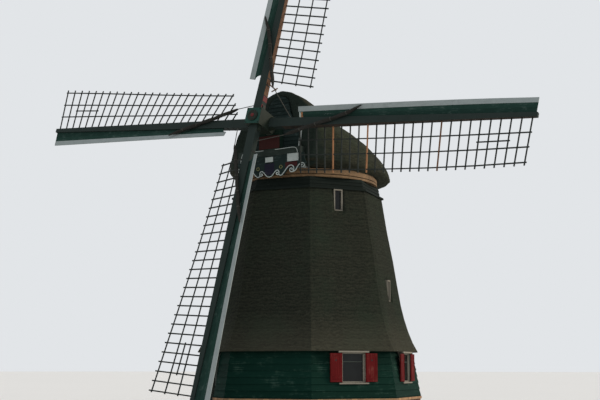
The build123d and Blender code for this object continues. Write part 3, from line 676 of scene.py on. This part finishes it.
def furled_cloth(name, line):
    """A sail cloth twisted into a long roll: slack folds run round it, both ends are gathered."""
    sides = 28
    rings = []
    for i, p in enumerate(line):
        s = i / (len(line) - 1)
        along = (line[min(i + 1, len(line) - 1)] - line[max(i - 1, 0)]).normalized()
        side = along.cross(Vector((0, 0, 1))).normalized()
        up = side.cross(along)
        body = min(1.0, (s / 0.10) ** 0.6, ((1 - s) / 0.16) ** 0.7) * 0.72 + 0.27
        pinch = 1 - 0.16 * sum(max(0, 1 - abs(s - at) / 0.012) for at in ROLL_TIES)
        ring = []
        for k in range(sides):
            a = 2 * pi * k / sides
            lobes = 0.80 + 0.13 * sin(3 * a + 26 * s) + 0.05 * sin(7 * a - 40 * s)
            rough = 0.06 * noise.noise(Vector((9 * s, 2 * cos(a), 2 * sin(a))) * 2)
            size = ROLL * body * pinch * min(1.0, lobes + rough)
            ring.append(p + size * (cos(a) * side + sin(a) * up))
        rings.append(ring)
    bm = bmesh.new()
    loft(bm, rings)
    roll = piece(f"furled_cloth_{name}", bm, "sail_cloth", "rotor", arm_place(name), smooth=True)
    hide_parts(f"cloth_roll_{name}")


def furling_lines(name, line):
    """Two turns of line round the roll at each tie."""
    bm = bmesh.new()
    for tie in ROLL_TIES:
        at = round(tie * (len(line) - 1))
        along = (line[at + 1] - line[at]).normalized()
        side = along.cross(Vector((0, 0, 1))).normalized()
        for step in (-0.012, 0.012):
            loop = circle(line[at] + along * step, 0.062, 20, side, side.cross(along))
            tube(bm, loop, 0.008, 6, closed=True)
    piece(f"furling_lines_{name}", bm, "rope", "rotor", arm_place(name), smooth=True)


# Base: bricks and boards

def cut_at_door(left, right):
    """What the door's opening leaves of a brick; its width is nothing where it takes all."""
    if right <= -DOOR_HALF or left >= DOOR_HALF:
        return left, right
    if left < -DOOR_HALF:
        return left, -DOOR_HALF
    return DOOR_HALF, max(right, DOOR_HALF)


def plinth_bricks(side):
    """Bricks of one side of the plinth, a little proud of their mortar."""
    bm = bmesh.new()
    tall = PLINTH_TOP / BRICK_ROWS
    half = PLINTH_FACE * HALF_STEP
    for row in range(BRICK_ROWS):
        z = row * tall + 0.004
        x = -half - (BRICK_PITCH / 2 if row % 2 else 0.0)
        while x < half:
            left, right = max(x + BRICK_JOINT, -half), min(x + BRICK_PITCH - BRICK_JOINT, half)
            x += BRICK_PITCH
            if side == ENTRANCE and z > DOORSTEP:
                left, right = cut_at_door(left, right)
            if right - left > SMALLEST_BRICK:
                proud = PLINTH_FACE + random.uniform(0.004, 0.009)
                block(bm, (left, -proud, z), (right, -PLINTH_FACE + 0.02, z + tall - 0.010))
    piece(f"plinth_bricks_{side}", bm, "brick_red", "tower", wall_place(side))


def coping_bricks(side):
    """The course of buff bricks that stands out over the plinth."""
    bm = bmesh.new()
    half = COPING_FACE * HALF_STEP
    x = -half
    while x < half - SMALLEST_BRICK:
        left, right = x + COPING_JOINT, min(x + COPING_PITCH - COPING_JOINT, half)
        x += COPING_PITCH
        if side == ENTRANCE:
            left, right = cut_at_door(left, right)
        if right - left > SMALLEST_BRICK:
            block(bm, (left, -COPING_FACE - 0.001, PLINTH_TOP + 0.006),
                  (right, -PLINTH_FACE + 0.01, BASE_BOTTOM + 0.004))
    piece(f"coping_bricks_{side}", bm, "brick_buff", "tower", wall_place(side), bevel=0.003)


def lapped_board(bm, low, high, face, left=None, right=None, lap=0.032, thin=0.009):
    """A board that is thick at its foot and thin at its head; ends that aren't given are mitred."""
    section = [(face(low) - 0.005, low), (face(low) + lap, low), (face(low) + lap, low + 0.012),
               (face(high) + thin, high), (face(high) - 0.005, high)]
    rings = []
    for end, given in ((-1, left), (1, right)):
        rings.append([(end * d * HALF_STEP if given is None else given, -d, z) for d, z in section])
    loft(bm, rings)


def base_boards(side):
    """Boards of one side of the base over a starting strip, cut off beside the door or the window."""
    bm = bmesh.new()
    feet = [FIRST_BOARD + BOARD_PITCH * k for k in range(7)]
    strip = (FIRST_BOARD - 0.032, FIRST_BOARD - 0.002)
    for low, high in [strip] + list(zip(feet, feet[1:] + [EAVE - 0.002])):
        gap = None
        if side == ENTRANCE:
            gap = DOOR_HALF
        elif side in WINDOW_SIDES and high > SILL_FOOT:
            gap = WINDOW_HALF
        if gap:
            lapped_board(bm, low, high + 0.004, base_face, right=-gap)
            lapped_board(bm, low, high + 0.004, base_face, left=gap)
        else:
            lapped_board(bm, low, high + 0.004, base_face)
    piece(f"base_boards_{side}", bm, "boards_green", "tower", wall_place(side))


def collar_boards(side):
    bm = bmesh.new()
    for k in range(3):
        low = between(COLLAR_FOOT, CURB_FOOT, k / 3)
        high = between(COLLAR_FOOT, CURB_FOOT, (k + 1) / 3)
        lapped_board(bm, low, high, collar_face, lap=0.022, thin=0.006)
    piece(f"collar_boards_{side}", bm, "tar", "tower", wall_place(side))


def flashing(side):
    """The skirt that sheds rain from the collar onto the thatch."""
    bm = bmesh.new()
    z = COLLAR_FOOT
    inner, outer = flat(COLLAR_CORNERS[0]) + 0.002, flat(THATCH[-1][1]) + 0.075
    section = [(inner, z + 0.004), (inner, z + 0.075), (inner + 0.02, z + 0.075), (inner + 0.03, z + 0.05),
               (outer, z + 0.012), (outer + 0.006, z - 0.05), (outer, z - 0.05)]
    loft(bm, [[(end * d * HALF_STEP, -d, h) for d, h in section] for end in (-1, 1)])
    piece(f"flashing_{side}", bm, "tar", "tower", wall_place(side))


# Windows, shutters and door

def casement(side):
    """The sash inside a window frame, with one bar across it."""
    front, back = 0.030 - FRAME_FACE, 0.072 - FRAME_FACE
    half, rail = 0.425, 0.045
    bm = bmesh.new()
    for left in (-half, half - rail):
        block(bm, (left, front, WINDOW_SILL), (left + rail, back, WINDOW_HEAD))
    for z in (WINDOW_SILL, WINDOW_HEAD - rail):
        block(bm, (-half + rail, front, z), (half - rail, back, z + rail))
    piece(f"casement_{side}", bm, "frame_cream", "tower", wall_place(side), bevel=0.004)
    bm = bmesh.new()
    bar = between(WINDOW_SILL, WINDOW_HEAD, 0.68)
    block(bm, (-half + rail, front + 0.004, bar), (half - rail, back, bar + 0.024))
    piece(f"casement_bar_{side}", bm, "post_grey", "tower", wall_place(side), bevel=0.003)


def shutter_face(name, side, hand, body):
    """Stiles and rails round a boarded panel, on the face that shows when the shutter stands open."""
    inner, outer = HINGE_LINE + 0.020, HINGE_LINE + 0.426
    foot, head = WINDOW_SILL + 0.028, WINDOW_HEAD - 0.028
    stile = 0.060
    wide = (outer - inner - 2 * stile) / 3
    rails = [(foot, foot + 0.075), (foot + 0.185, foot + 0.235), (head - 0.075, head)]

    def slab(left, right, low, high, proud, deep):
        a, b = sorted((hand * left, hand * right))
        block(bm, (a, -SHUTTER_FACE - proud, low), (b, -SHUTTER_FACE + deep, high))

    bm = bmesh.new()
    for left in (inner, outer - stile):
        slab(left, left + stile, foot, head, 0.009, 0.002)
    for low, high in rails:
        slab(inner + stile, outer - stile, low, high, 0.009, 0.002)
    for (_, low), (high, _) in zip(rails, rails[1:]):
        for k in range(3):
            left = inner + stile + k * wide
            slab(left + 0.002, left + wide - 0.002, low, high, 0.004, 0.002)
    piece(f"{name}_face", bm, "shutter_red", body, wall_place(side), bevel=0.0025)
    bm = bmesh.new()
    middle = Vector((hand * (inner + outer) / 2, -SHUTTER_FACE - 0.0045, between(foot, head, 0.76)))
    diamond = [middle + Vector((x, 0, z)) for x, z in ((0, -0.045), (0.03, 0), (0, 0.045), (-0.03, 0))]
    loft(bm, [diamond, [p + Vector((0, 0.004, 0)) for p in diamond]])
    piece(f"{name}_peephole", bm, "black_iron", body, wall_place(side))
    bm = bmesh.new()
    for z in (foot + 0.10, head - 0.10):
        slab(inner - 0.01, outer - 0.10, z - 0.014, z + 0.014, 0.0125, -0.008)
    piece(f"{name}_straps", bm, "shutter_red", body, wall_place(side))


def door_boards():
    """Five upright boards on the door's face, and its iron: straps, a lock plate and a handle."""
    face = -DOOR_FACE
    half = 0.384
    bm = bmesh.new()
    for k in range(5):
        left = between(-half, half, k / 5) + 0.002
        right = between(-half, half, (k + 1) / 5) - 0.002
        block(bm, (left, face - 0.006, 0.215), (right, face + 0.002, 2.065))
    piece("door_boards", bm, "door_green", "door", wall_place(ENTRANCE), bevel=0.003)
    bm = bmesh.new()
    for z in (0.50, 1.75):
        block(bm, (-half + 0.01, face - 0.011, z), (half - 0.16, face - 0.005, z + 0.045))
    block(bm, (half - 0.09, face - 0.012, 1.15), (half - 0.05, face - 0.005, 1.30))
    tube(bm, [(half - 0.07, face - 0.010, 1.26), (half - 0.07, face - 0.045, 1.26),
              (half - 0.16, face - 0.050, 1.26)], 0.008)
    piece("door_iron", bm, "black_iron", "door", wall_place(ENTRANCE))


# Thatch

def smock_spot(side, share, z):
    """A point of the smock's surface: share runs from -1 to 1 across the side."""
    d = flat(thatch_corner(z)) + 0.028
    x = share * d * HALF_STEP
    d -= 0.055 * max(0.0, abs(share) - 0.80) / 0.20 * abs(share) ** 2
    swell = 0.012 * noise.noise(Vector((x * 1.3 + side * 7, z * 1.2, side)))
    swell += 0.006 * noise.noise(Vector((x * 5 + side * 3, z * 7, side)))
    step = 0.010 * ((z / 0.31 + 0.25 * noise.noise(Vector((x * 2, side, z)))) % 1.0)
    return wall_place(side) @ Vector((x * (d + swell) / (d + 0.001), -(d + swell - step), z))


def turn_in(bm, edges, share, rise=0.0):
    """Fold open edges of the thatch in towards the mill's middle."""
    for v in bmesh.ops.extrude_edge_only(bm, edges=edges)["geom"]:
        if isinstance(v, bmesh.types.BMVert):
            v.co = (v.co.x * share, v.co.y * share, v.co.z + rise)


def smock_thatch():
    """The smock's thatch: corners rounded, the surface a little wavy, a thick trimmed edge at the foot."""
    rows, per_side = 62, 22
    heights = [EAVE + (COLLAR_FOOT - EAVE) * k / rows for k in range(rows + 1)]
    places = [(side, -1 + 2 * k / per_side) for side in range(SIDES) for k in range(per_side)]
    count = len(places)
    bm = bmesh.new()
    grid = [[bm.verts.new(smock_spot(side, share, z)) for side, share in places] for z in heights]
    for j in range(rows):
        z = (heights[j] + heights[j + 1]) / 2
        for i, (side, share) in enumerate(places):
            middle = (share + 1 / per_side) * flat(thatch_corner(heights[j])) * HALF_STEP
            sill = SLIT_SILLS.get(side)
            if sill and abs(middle) < SLIT_HALF + 0.03 and sill - 0.05 < z < sill + SLIT_TALL + 0.03:
                continue
            n = (i + 1) % count
            bm.faces.new((grid[j][i], grid[j][n], grid[j + 1][n], grid[j + 1][i]))
    under = [bm.verts.new((v.co.x * 0.93, v.co.y * 0.93, EAVE + 0.004)) for v in grid[0]]
    foot = [bm.verts.new((v.co.x * 0.996, v.co.y * 0.996, EAVE - 0.012)) for v in grid[0]]
    for i in range(count):
        n = (i + 1) % count
        bm.faces.new((foot[i], foot[n], grid[0][n], grid[0][i]))
        bm.faces.new((under[i], under[n], foot[n], foot[i]))
    top = COLLAR_FOOT - 0.02
    turn_in(bm, [e for e in bm.edges if e.is_boundary and EAVE + 0.05 < e.verts[0].co.z < top], 0.955)
    turn_in(bm, [e for e in bm.edges if e.is_boundary and min(v.co.z for v in e.verts) > top], 0.95, 0.004)
    piece("smock_thatch", bm, "thatch", "tower", smooth=True)


def cap_thatch():
    """The cap's solids of thatch grown together, closed at the tail, with soft edges and a laid surface."""
    nodes = ("cap_thatch_right", "cap_thatch_left", "cap_eave")
    bm = bmesh.new()
    for node in nodes:
        bm.from_mesh(frame["nodes"][node].data)
    block(bm, *TAIL_PLUG)
    cover = solid("cap_thatch", bm)
    grow = cover.modifiers.new("grow", "REMESH")
    grow.mode = "VOXEL"
    grow.voxel_size = 0.050
    ease = cover.modifiers.new("ease", "SMOOTH")
    ease.iterations = 16
    ease.factor = 0.5
    laid = bpy.data.meshes.new_from_object(cover.evaluated_get(bpy.context.evaluated_depsgraph_get()))
    cover.modifiers.clear()
    cover.data = laid
    normals = [v.normal.copy() for v in laid.vertices]
    for v, normal in zip(laid.vertices, normals):
        rough = noise.noise(v.co * 1.1) * 0.016 + noise.noise(v.co * 6.0) * 0.010
        v.co += normal * (0.012 + rough)
    laid.materials.clear()
    coat(laid, "cap_thatch", True)
    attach(cover, "cap")
    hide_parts(*nodes)


# Cap front

def front_half(up):
    """Half the width of the cap's front wall at a height up the leaning wall."""
    for (x0, u0), (x1, u1) in zip(FRONT_EDGE, FRONT_EDGE[1:]):
        if u0 <= up <= u1 and u1 > u0:
            return between(x0, x1, (up - u0) / (u1 - u0))
    return 0.0


def front_boards():
    """Boards across the front wall, each lapping the one under it."""
    bm = bmesh.new()
    pitch = 0.155
    up = 0.0
    while up < 2.10:
        high = min(up + pitch, 2.155)
        low_half, high_half = front_half(up + 0.001) - 0.012, front_half(high) - 0.012
        top = high + 0.006
        section = [(up, 0.001), (up, 0.026), (up + 0.012, 0.026), (top, 0.006), (top, 0.001)]
        loft(bm, [[(hand * (low_half if u < high - 0.02 else high_half), u, w) for u, w in section]
                  for hand in (-1, 1)])
        up += pitch
    piece("cap_front_boards", bm, "cap_green", "cap", CAP_FACE)


def ribbon(bm, points, wide, proud, face):
    """A flat moulding, wide across, that follows points of (x, z) on a face that looks forward."""
    rings = []
    for i, (x, z) in enumerate(points):
        before = points[max(i - 1, 0)]
        after = points[min(i + 1, len(points) - 1)]
        along = Vector((after[0] - before[0], after[1] - before[1])).normalized()
        side = Vector((-along.y, along.x)) * wide / 2
        rings.append([(x - side.x, -face, z - side.y), (x - side.x, -face - proud, z - side.y),
                      (x + side.x, -face - proud, z + side.y), (x + side.x, -face, z + side.y)])
    loft(bm, rings)


def eased(points, steps):
    """A smooth line through every one of the points."""
    line = []
    for i in range(len(points) - 1):
        a, b, c, d = (Vector(points[max(0, min(len(points) - 1, i + k))]) for k in (-1, 0, 1, 2))
        for k in range(steps):
            t = k / steps
            line.append((2 * b + (c - a) * t + (2 * a - 5 * b + 4 * c - d) * t ** 2
                         + (3 * b - a - 3 * c + d) * t ** 3) / 2)
    return [(p.x, p.y) for p in line] + [points[-1]]


WAVES = [[(0.000, 8.372), (0.108, 8.408), (0.223, 8.535), (0.314, 8.599), (0.378, 8.566), (0.402, 8.500),
          (0.380, 8.446), (0.325, 8.434), (0.288, 8.468), (0.304, 8.510), (0.342, 8.508), (0.350, 8.482)],
         [(0.392, 8.432), (0.479, 8.397), (0.561, 8.450), (0.663, 8.566), (0.744, 8.655), (0.809, 8.705),
          (0.899, 8.722), (0.975, 8.680), (1.004, 8.600), (0.990, 8.520), (0.928, 8.482), (0.862, 8.498),
          (0.836, 8.552), (0.864, 8.608), (0.918, 8.612), (0.944, 8.574), (0.920, 8.545)],
         [(0.962, 8.478), (1.021, 8.500), (1.089, 8.552), (1.166, 8.661), (1.230, 8.725), (1.299, 8.761),
          (1.380, 8.756), (1.428, 8.704), (1.414, 8.648), (1.362, 8.622), (1.312, 8.644), (1.306, 8.688),
          (1.340, 8.708), (1.370, 8.688)]]
BEAM_LINE = [(0.24, 9.340), (0.50, 9.344), (0.80, 9.352), (0.94, 9.354), (1.05, 9.340), (1.12, 9.290),
             (1.15, 9.210), (1.16, 9.150)]
RED_FIELD = [(0.66, 8.62), (0.80, 8.66), (1.14, 8.68), (1.14, 8.84), (0.66, 8.84)]
VIOLET_FIELD = [(-0.20, 8.52), (-0.12, 8.44), (0.12, 8.44), (0.20, 8.52), (0.20, 8.86), (-0.20, 8.86)]


def beard_scrolls():
    """White waves along the beard's foot, curling over at each crest, and a yellow ring on each side."""
    bm = bmesh.new()
    for hand in (-1, 1):
        for wave in WAVES:
            ribbon(bm, eased([(hand * x, z) for x, z in wave], 6), 0.030, 0.014, BEARD_FACE - 0.002)
    piece("beard_scrolls", bm, "white", "cap")
    bm = bmesh.new()
    for hand in (-1, 1):
        middle = Vector((hand * 0.475, -BEARD_FACE - 0.006, 8.700))
        tube(bm, circle(middle, 0.055, 28, ACROSS, Vector((0, 0, 1))), 0.010, closed=True)
    piece("beard_rings", bm, "yellow_line", "cap", smooth=True)


def beard_fields():
    """Painted fields of the beard: violet in the middle, red under the beam ends."""
    mirrored = [(-x, z) for x, z in RED_FIELD]
    for name, finish, outline in (("violet", "field_violet", VIOLET_FIELD),
                                  ("red_right", "field_red", RED_FIELD),
                                  ("red_left", "field_red", mirrored[:1] + mirrored[:0:-1])):
        bm = bmesh.new()
        loft(bm, [[(x, y - BEARD_FACE, z) for x, z in outline] for y in (0.002, -0.005)])
        piece(f"beard_field_{name}", bm, finish, "cap")


def beam_trim():
    """White lines on the weather beam, and the bare white plates under its ends and in the middle."""
    bm = bmesh.new()
    for hand in (-1, 1):
        ribbon(bm, eased([(hand * x, z) for x, z in BEAM_LINE], 5), 0.020, 0.010, BEAM_FRONT)
    piece("beam_lines", bm, "white", "cap")
    bm = bmesh.new()
    for hand in (-1, 1):
        middle = hand * BEAM_END
        block(bm, (middle - 0.190, -BEAM_FRONT - 0.030, BEAM_FOOT - 0.235),
              (middle + 0.190, -BEAM_FRONT - 0.019, BEAM_FOOT - 0.035))
    piece("beam_end_plates", bm, "white", "cap", bevel=0.003)
    bm = bmesh.new()
    block(bm, (-0.160, -BEARD_FACE - 0.027, 8.905), (0.160, -BEARD_FACE - 0.020, 9.085))
    piece("middle_plate", bm, "white", "cap", bevel=0.002)


# Sails

def board_edge(u):
    """Distance of the wind board's leading edge from the stock's middle."""
    return between(0.560, 0.620, u / SAIL)


def edge_joint(u):
    """The joint between the green planks and the pale one."""
    return board_edge(u) - EDGE_PLANK


def plank_foot(u):
    return beside_stock(u) + 0.002


def plank_joint(u):
    """The joint between the two green planks."""
    return between(plank_foot(u), edge_joint(u), 0.52)


def notch(v):
    """Where a plank begins, along the arm, beside the quarter-round notch at the stock."""
    from_stock = max(v - STOCK_WIDE[0] / 2, 0.0)
    if from_stock >= NOTCH:
        return BOARD_START
    return BOARD_START + (NOTCH ** 2 - from_stock ** 2) ** 0.5


def plank(bm, low, high, start, end, front, back=-0.010):
    """A length of plank from low to high across the arm; start may follow the notch by the stock."""
    runs, across = 10, 6
    faces = []
    for proud in (front, back):
        grid = []
        for k in range(across + 1):
            first = start(between(low(BOARD_START), high(BOARD_START), k / across))
            row = []
            for u in [between(first, end, j / runs) for j in range(runs + 1)]:
                row.append(bm.verts.new(on_bar(u, between(low(u), high(u), k / across), proud)))
            grid.append(row)
        faces.append(grid)
    over, under = faces
    for j in range(runs):
        for i in range(across):
            bm.faces.new((over[i][j], over[i + 1][j], over[i + 1][j + 1], over[i][j + 1]))
            bm.faces.new((under[i][j + 1], under[i + 1][j + 1], under[i + 1][j], under[i][j]))
        for i in (0, across):
            bm.faces.new((over[i][j], over[i][j + 1], under[i][j + 1], under[i][j]))
    for i in range(across):
        for j in (0, runs):
            bm.faces.new((over[i][j], under[i][j], under[i + 1][j], over[i + 1][j]))


def sleeve(bm, u, low, high, wide, foot, head):
    """A straight bar across the arm at u, from low to high, between two heights over the bars' middle."""
    loft(bm, [[on_bar(u, v, p) + Vector((w, 0, 0)) for w, p in
               ((-wide, foot), (wide, foot), (wide, head), (-wide, head))] for v in (low, high)])


def wind_board(name):
    """Two green planks and a pale one at the leading edge, held by battens on their backs."""
    place = arm_place(name)
    for part, first, end in BOARD_LENGTHS:
        bm = bmesh.new()
        plank(bm, edge_joint, board_edge, lambda v: first or BOARD_START, end, 0.016)
        edge = piece(f"wind_board_edge_{name}_{part}", bm, "strip_pale", "rotor", place)
        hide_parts(f"wind_board_{name}")
        bm = bmesh.new()
        start = (lambda v: first) if first else notch
        plank(bm, plank_foot, lambda u: plank_joint(u) - 0.001, start, end, 0.012)
        plank(bm, lambda u: plank_joint(u) + 0.001, lambda u: edge_joint(u) - 0.002, start, end, 0.012)
        planks = piece(f"wind_board_planks_{name}_{part}", bm, "board_green", "rotor", place)
        bm = bmesh.new()
        for u in BATTENS:
            if (first or 0) < u < end:
                sleeve(bm, u, plank_foot(u), board_edge(u) - 0.03, 0.03, -0.034, -0.009)
        piece(f"wind_board_battens_{name}_{part}", bm, "lattice_dark", "rotor", place)


def orange_bars():
    """Three bars of the right sail in orange: two in a pale orange pine, one in the top stock's orange."""
    # two bars in pale orange, bar 9 in the orange of the top stock's painted sunlight
    for k, finish in ((21, "fresh_pine"), (17, "fresh_pine"), (9, "stock_bare")):
        bm = bmesh.new()
        u = bar_place(k)
        sleeve(bm, u, TRAILING_EDGE, -beside_stock(u) - 0.004, 0.0225, -0.0165, 0.0165)
        piece(f"orange_bar_{k}", bm, finish, "rotor", arm_place("right"))


def side_plate(bm, u0, u1, hand, proud):
    """A thin plate or coat of paint on one side of a stock."""
    rings = []
    for u in (u0, u1):
        half, deep = stock_half(u)
        deep *= 0.97
        low, high = sorted((hand * (half - 0.002), hand * (half + proud)))
        rings.append([(u, low, -deep), (u, high, -deep), (u, high, deep), (u, low, deep)])
    loft(bm, rings)


def stock_paint(name):
    """Iron straps on the sides of a stock, and bands of paint by the poll on the top one."""
    parts = [("straps", "black_iron", ((1.235, 1.275), (1.495, 1.535)), 0.009)]
    if name == "top":
        parts += [("red", "red_band", ((0.630, 0.830), (0.360, 0.500)), 0.003),
                  ("white", "white_band", ((0.300, 0.345),), 0.003)]
    for part, finish, bands, proud in parts:
        bm = bmesh.new()
        for u0, u1 in bands:
            for hand in (-1, 1):
                side_plate(bm, u0, u1, hand, proud)
        piece(f"stock_{part}_{name}", bm, finish, "rotor", arm_place(name))


def stock_side(name):
    """The trailing side of a stock: orange on the top one as painted sunlight, dark brown on the others as
    painted shade.
    """
    # orange painted sunlight on the top stock's side, dark brown painted shade on the other stocks' sides
    finish = "stock_bare" if name == "top" else "stock_tarred"
    for part, first, end in STOCK_LENGTHS:
        bm = bmesh.new()
        side_plate(bm, first, end, -1, 0.002)
        piece(f"stock_side_{name}_{part}", bm, finish, "rotor", arm_place(name))


def poll_face():
    """The cast poll end: a teal face with a ring, a red boss and bolts near its corners."""
    turned = ROTOR @ Matrix.Rotation(radians(ROTOR_TURN), 4, "Z")

    def round_at(radius, z, count):
        return circle(Vector((0, 0, z)), radius, count, ACROSS, Vector((0, 1, 0)))

    bm = bmesh.new()
    block(bm, (-0.292, -0.292, 0.500), (0.292, 0.292, 0.507))
    piece("poll_face_plate", bm, "teal", "rotor", turned, bevel=0.004)
    bm = bmesh.new()
    tube(bm, round_at(0.155, 0.551, 36), 0.010, closed=True)
    piece("poll_ring", bm, "iron_green", "rotor", turned, smooth=True)
    bm = bmesh.new()
    loft(bm, [round_at(0.070, 0.548, 28), round_at(0.0665, 0.560, 28), round_at(0.042, 0.570, 28)])
    piece("poll_boss", bm, "red_band", "rotor", turned, smooth=True)
    bm = bmesh.new()
    for quarter in range(4):
        spin = Matrix.Rotation(pi / 2 * quarter, 4, "Z")
        for x in (-0.25, 0.25):
            tube(bm, [spin @ Vector((x, 0.25, z)) for z in (0.518, 0.498)], 0.022, 6)
    piece("poll_bolts", bm, "black_iron", "rotor", turned)


def sail_stop():
    """The forked iron on the side of the upper stock that holds back the furled cloth."""
    bm = bmesh.new()
    shank = [(1.373, -0.106, 0.05), (1.330, -0.190, 0.055), (1.200, -0.360, 0.06), (1.036, -0.590, 0.06)]
    tube(bm, shank, 0.024)
    tube(bm, [(1.111, -0.634, 0.06), (1.045, -0.530, 0.06), (0.986, -0.414, 0.06)], 0.022)
    # the iron takes the orange of the top stock's painted sunlight, as it stands on that lit side
    piece("sail_stop", bm, "stock_bare", "rotor", arm_place("top"), smooth=True)


def board_cleats():
    """Two upright cleats in the notch of the right wind board, one painted and one new."""
    for name, u, finish in (("painted", 1.520, "white"), ("new", 1.600, "fresh_pine")):
        bm = bmesh.new()
        corners = ((0.185, -0.008), (0.375, -0.008), (0.375, 0.034), (0.185, 0.034))
        loft(bm, [[on_bar(at, v, p) for v, p in corners] for at in (u - 0.022, u + 0.022)])
        piece(f"board_cleat_{name}", bm, finish, "rotor", arm_place("right"), bevel=0.004)


# Ground, backdrop and light

def ground():
    mesh = bpy.data.meshes.new("floor")
    mesh.from_pydata([(-400, -400, 0), (400, -400, 0), (400, 400, 0), (-400, 400, 0)], [], [(0, 1, 2, 3)])
    f = Finish("pale_floor", 0.9)
    f.put("Base Color", f.shade((226, 226, 224), 0.985 + 0.03 * f.cloud(0.08, 2, 0.5)))
    mesh.materials.append(f.material)
    stand("floor", mesh)


def sky():
    """Soft light from all round; the camera, gloss and glass see a pale wall there."""
    world = bpy.data.worlds.new("studio")
    bpy.context.scene.world = world
    world.use_nodes = True
    world.node_tree.nodes.clear()
    air = Nodes(world.node_tree)
    camera, glossy, through = (air.node("ShaderNodeLightPath", {}, {}, f"Is {ray} Ray")
                               for ray in ("Camera", "Glossy", "Transmission"))
    seen = air.node("ShaderNodeMath", {"operation": "MAXIMUM"}, {0: camera, 1: glossy})
    seen = air.node("ShaderNodeMath", {"operation": "MAXIMUM"}, {0: seen, 1: through})
    light = air.node("ShaderNodeBackground", {}, {"Color": (0.93, 0.96, 1.0, 1), "Strength": 0.62})
    wall = air.node("ShaderNodeBackground", {}, {"Color": paint(226, 229, 232), "Strength": 1.0})
    mixed = air.node("ShaderNodeMixShader", {}, {0: seen, 1: light, 2: wall})
    air.node("ShaderNodeOutputWorld", {}, {"Surface": mixed})


def lamp(name, azimuth, elevation, strength, colour, soft):
    light = bpy.data.lights.new(name, "SUN")
    light.energy = strength
    light.color = colour
    light.angle = radians(soft)
    a, e = radians(azimuth), radians(elevation)
    towards = Vector((sin(a) * cos(e), -cos(a) * cos(e), sin(e)))
    stand(name, light).rotation_euler = towards.to_track_quat("Z", "Y").to_euler()


# The mill

place_camera()
for arm in ARMS:
    sail_rope(arm)
for arm in ARMS:
    roll_middle = smooth_line(roll_line(), 150, 0.32)
    furled_cloth(arm, roll_middle)
    furling_lines(arm, roll_middle)

for node in frame["nodes"].values():
    for holder in node.material_slots:
        holder.material = FINISHES[holder.material.name.split(".")[0]]
frame["nodes"]["neck_bearing"].material_slots[0].material = FINISHES["dark_green"]

for side in range(SIDES):
    plinth_bricks(side)
    coping_bricks(side)
    base_boards(side)
    collar_boards(side)
    flashing(side)
for side in WINDOW_SIDES:
    casement(side)
for wall, side in (("front", FRONT_RIGHT), ("side", RIGHT), ("rear", REAR_LEFT)):
    for way, hand in (("left", -1), ("right", 1)):
        shutter = f"shutter_{wall}_{way}"
        shutter_face(shutter, side, hand, "tower" if wall == "rear" else shutter)
door_boards()
smock_thatch()
cap_thatch()
front_boards()
beard_fields()
beard_scrolls()
beam_trim()
for arm in ARMS:
    wind_board(arm)
    stock_paint(arm)
    stock_side(arm)
orange_bars()
poll_face()
sail_stop()
board_cleats()
ground()
sky()
lamp("key", 122, 22, 2.4, (1.0, 0.88, 0.74), 20)
lamp("fill", 30, 40, 0.55, (0.95, 0.97, 1.0), 60)

bpy.context.scene.view_settings.view_transform = "Standard"
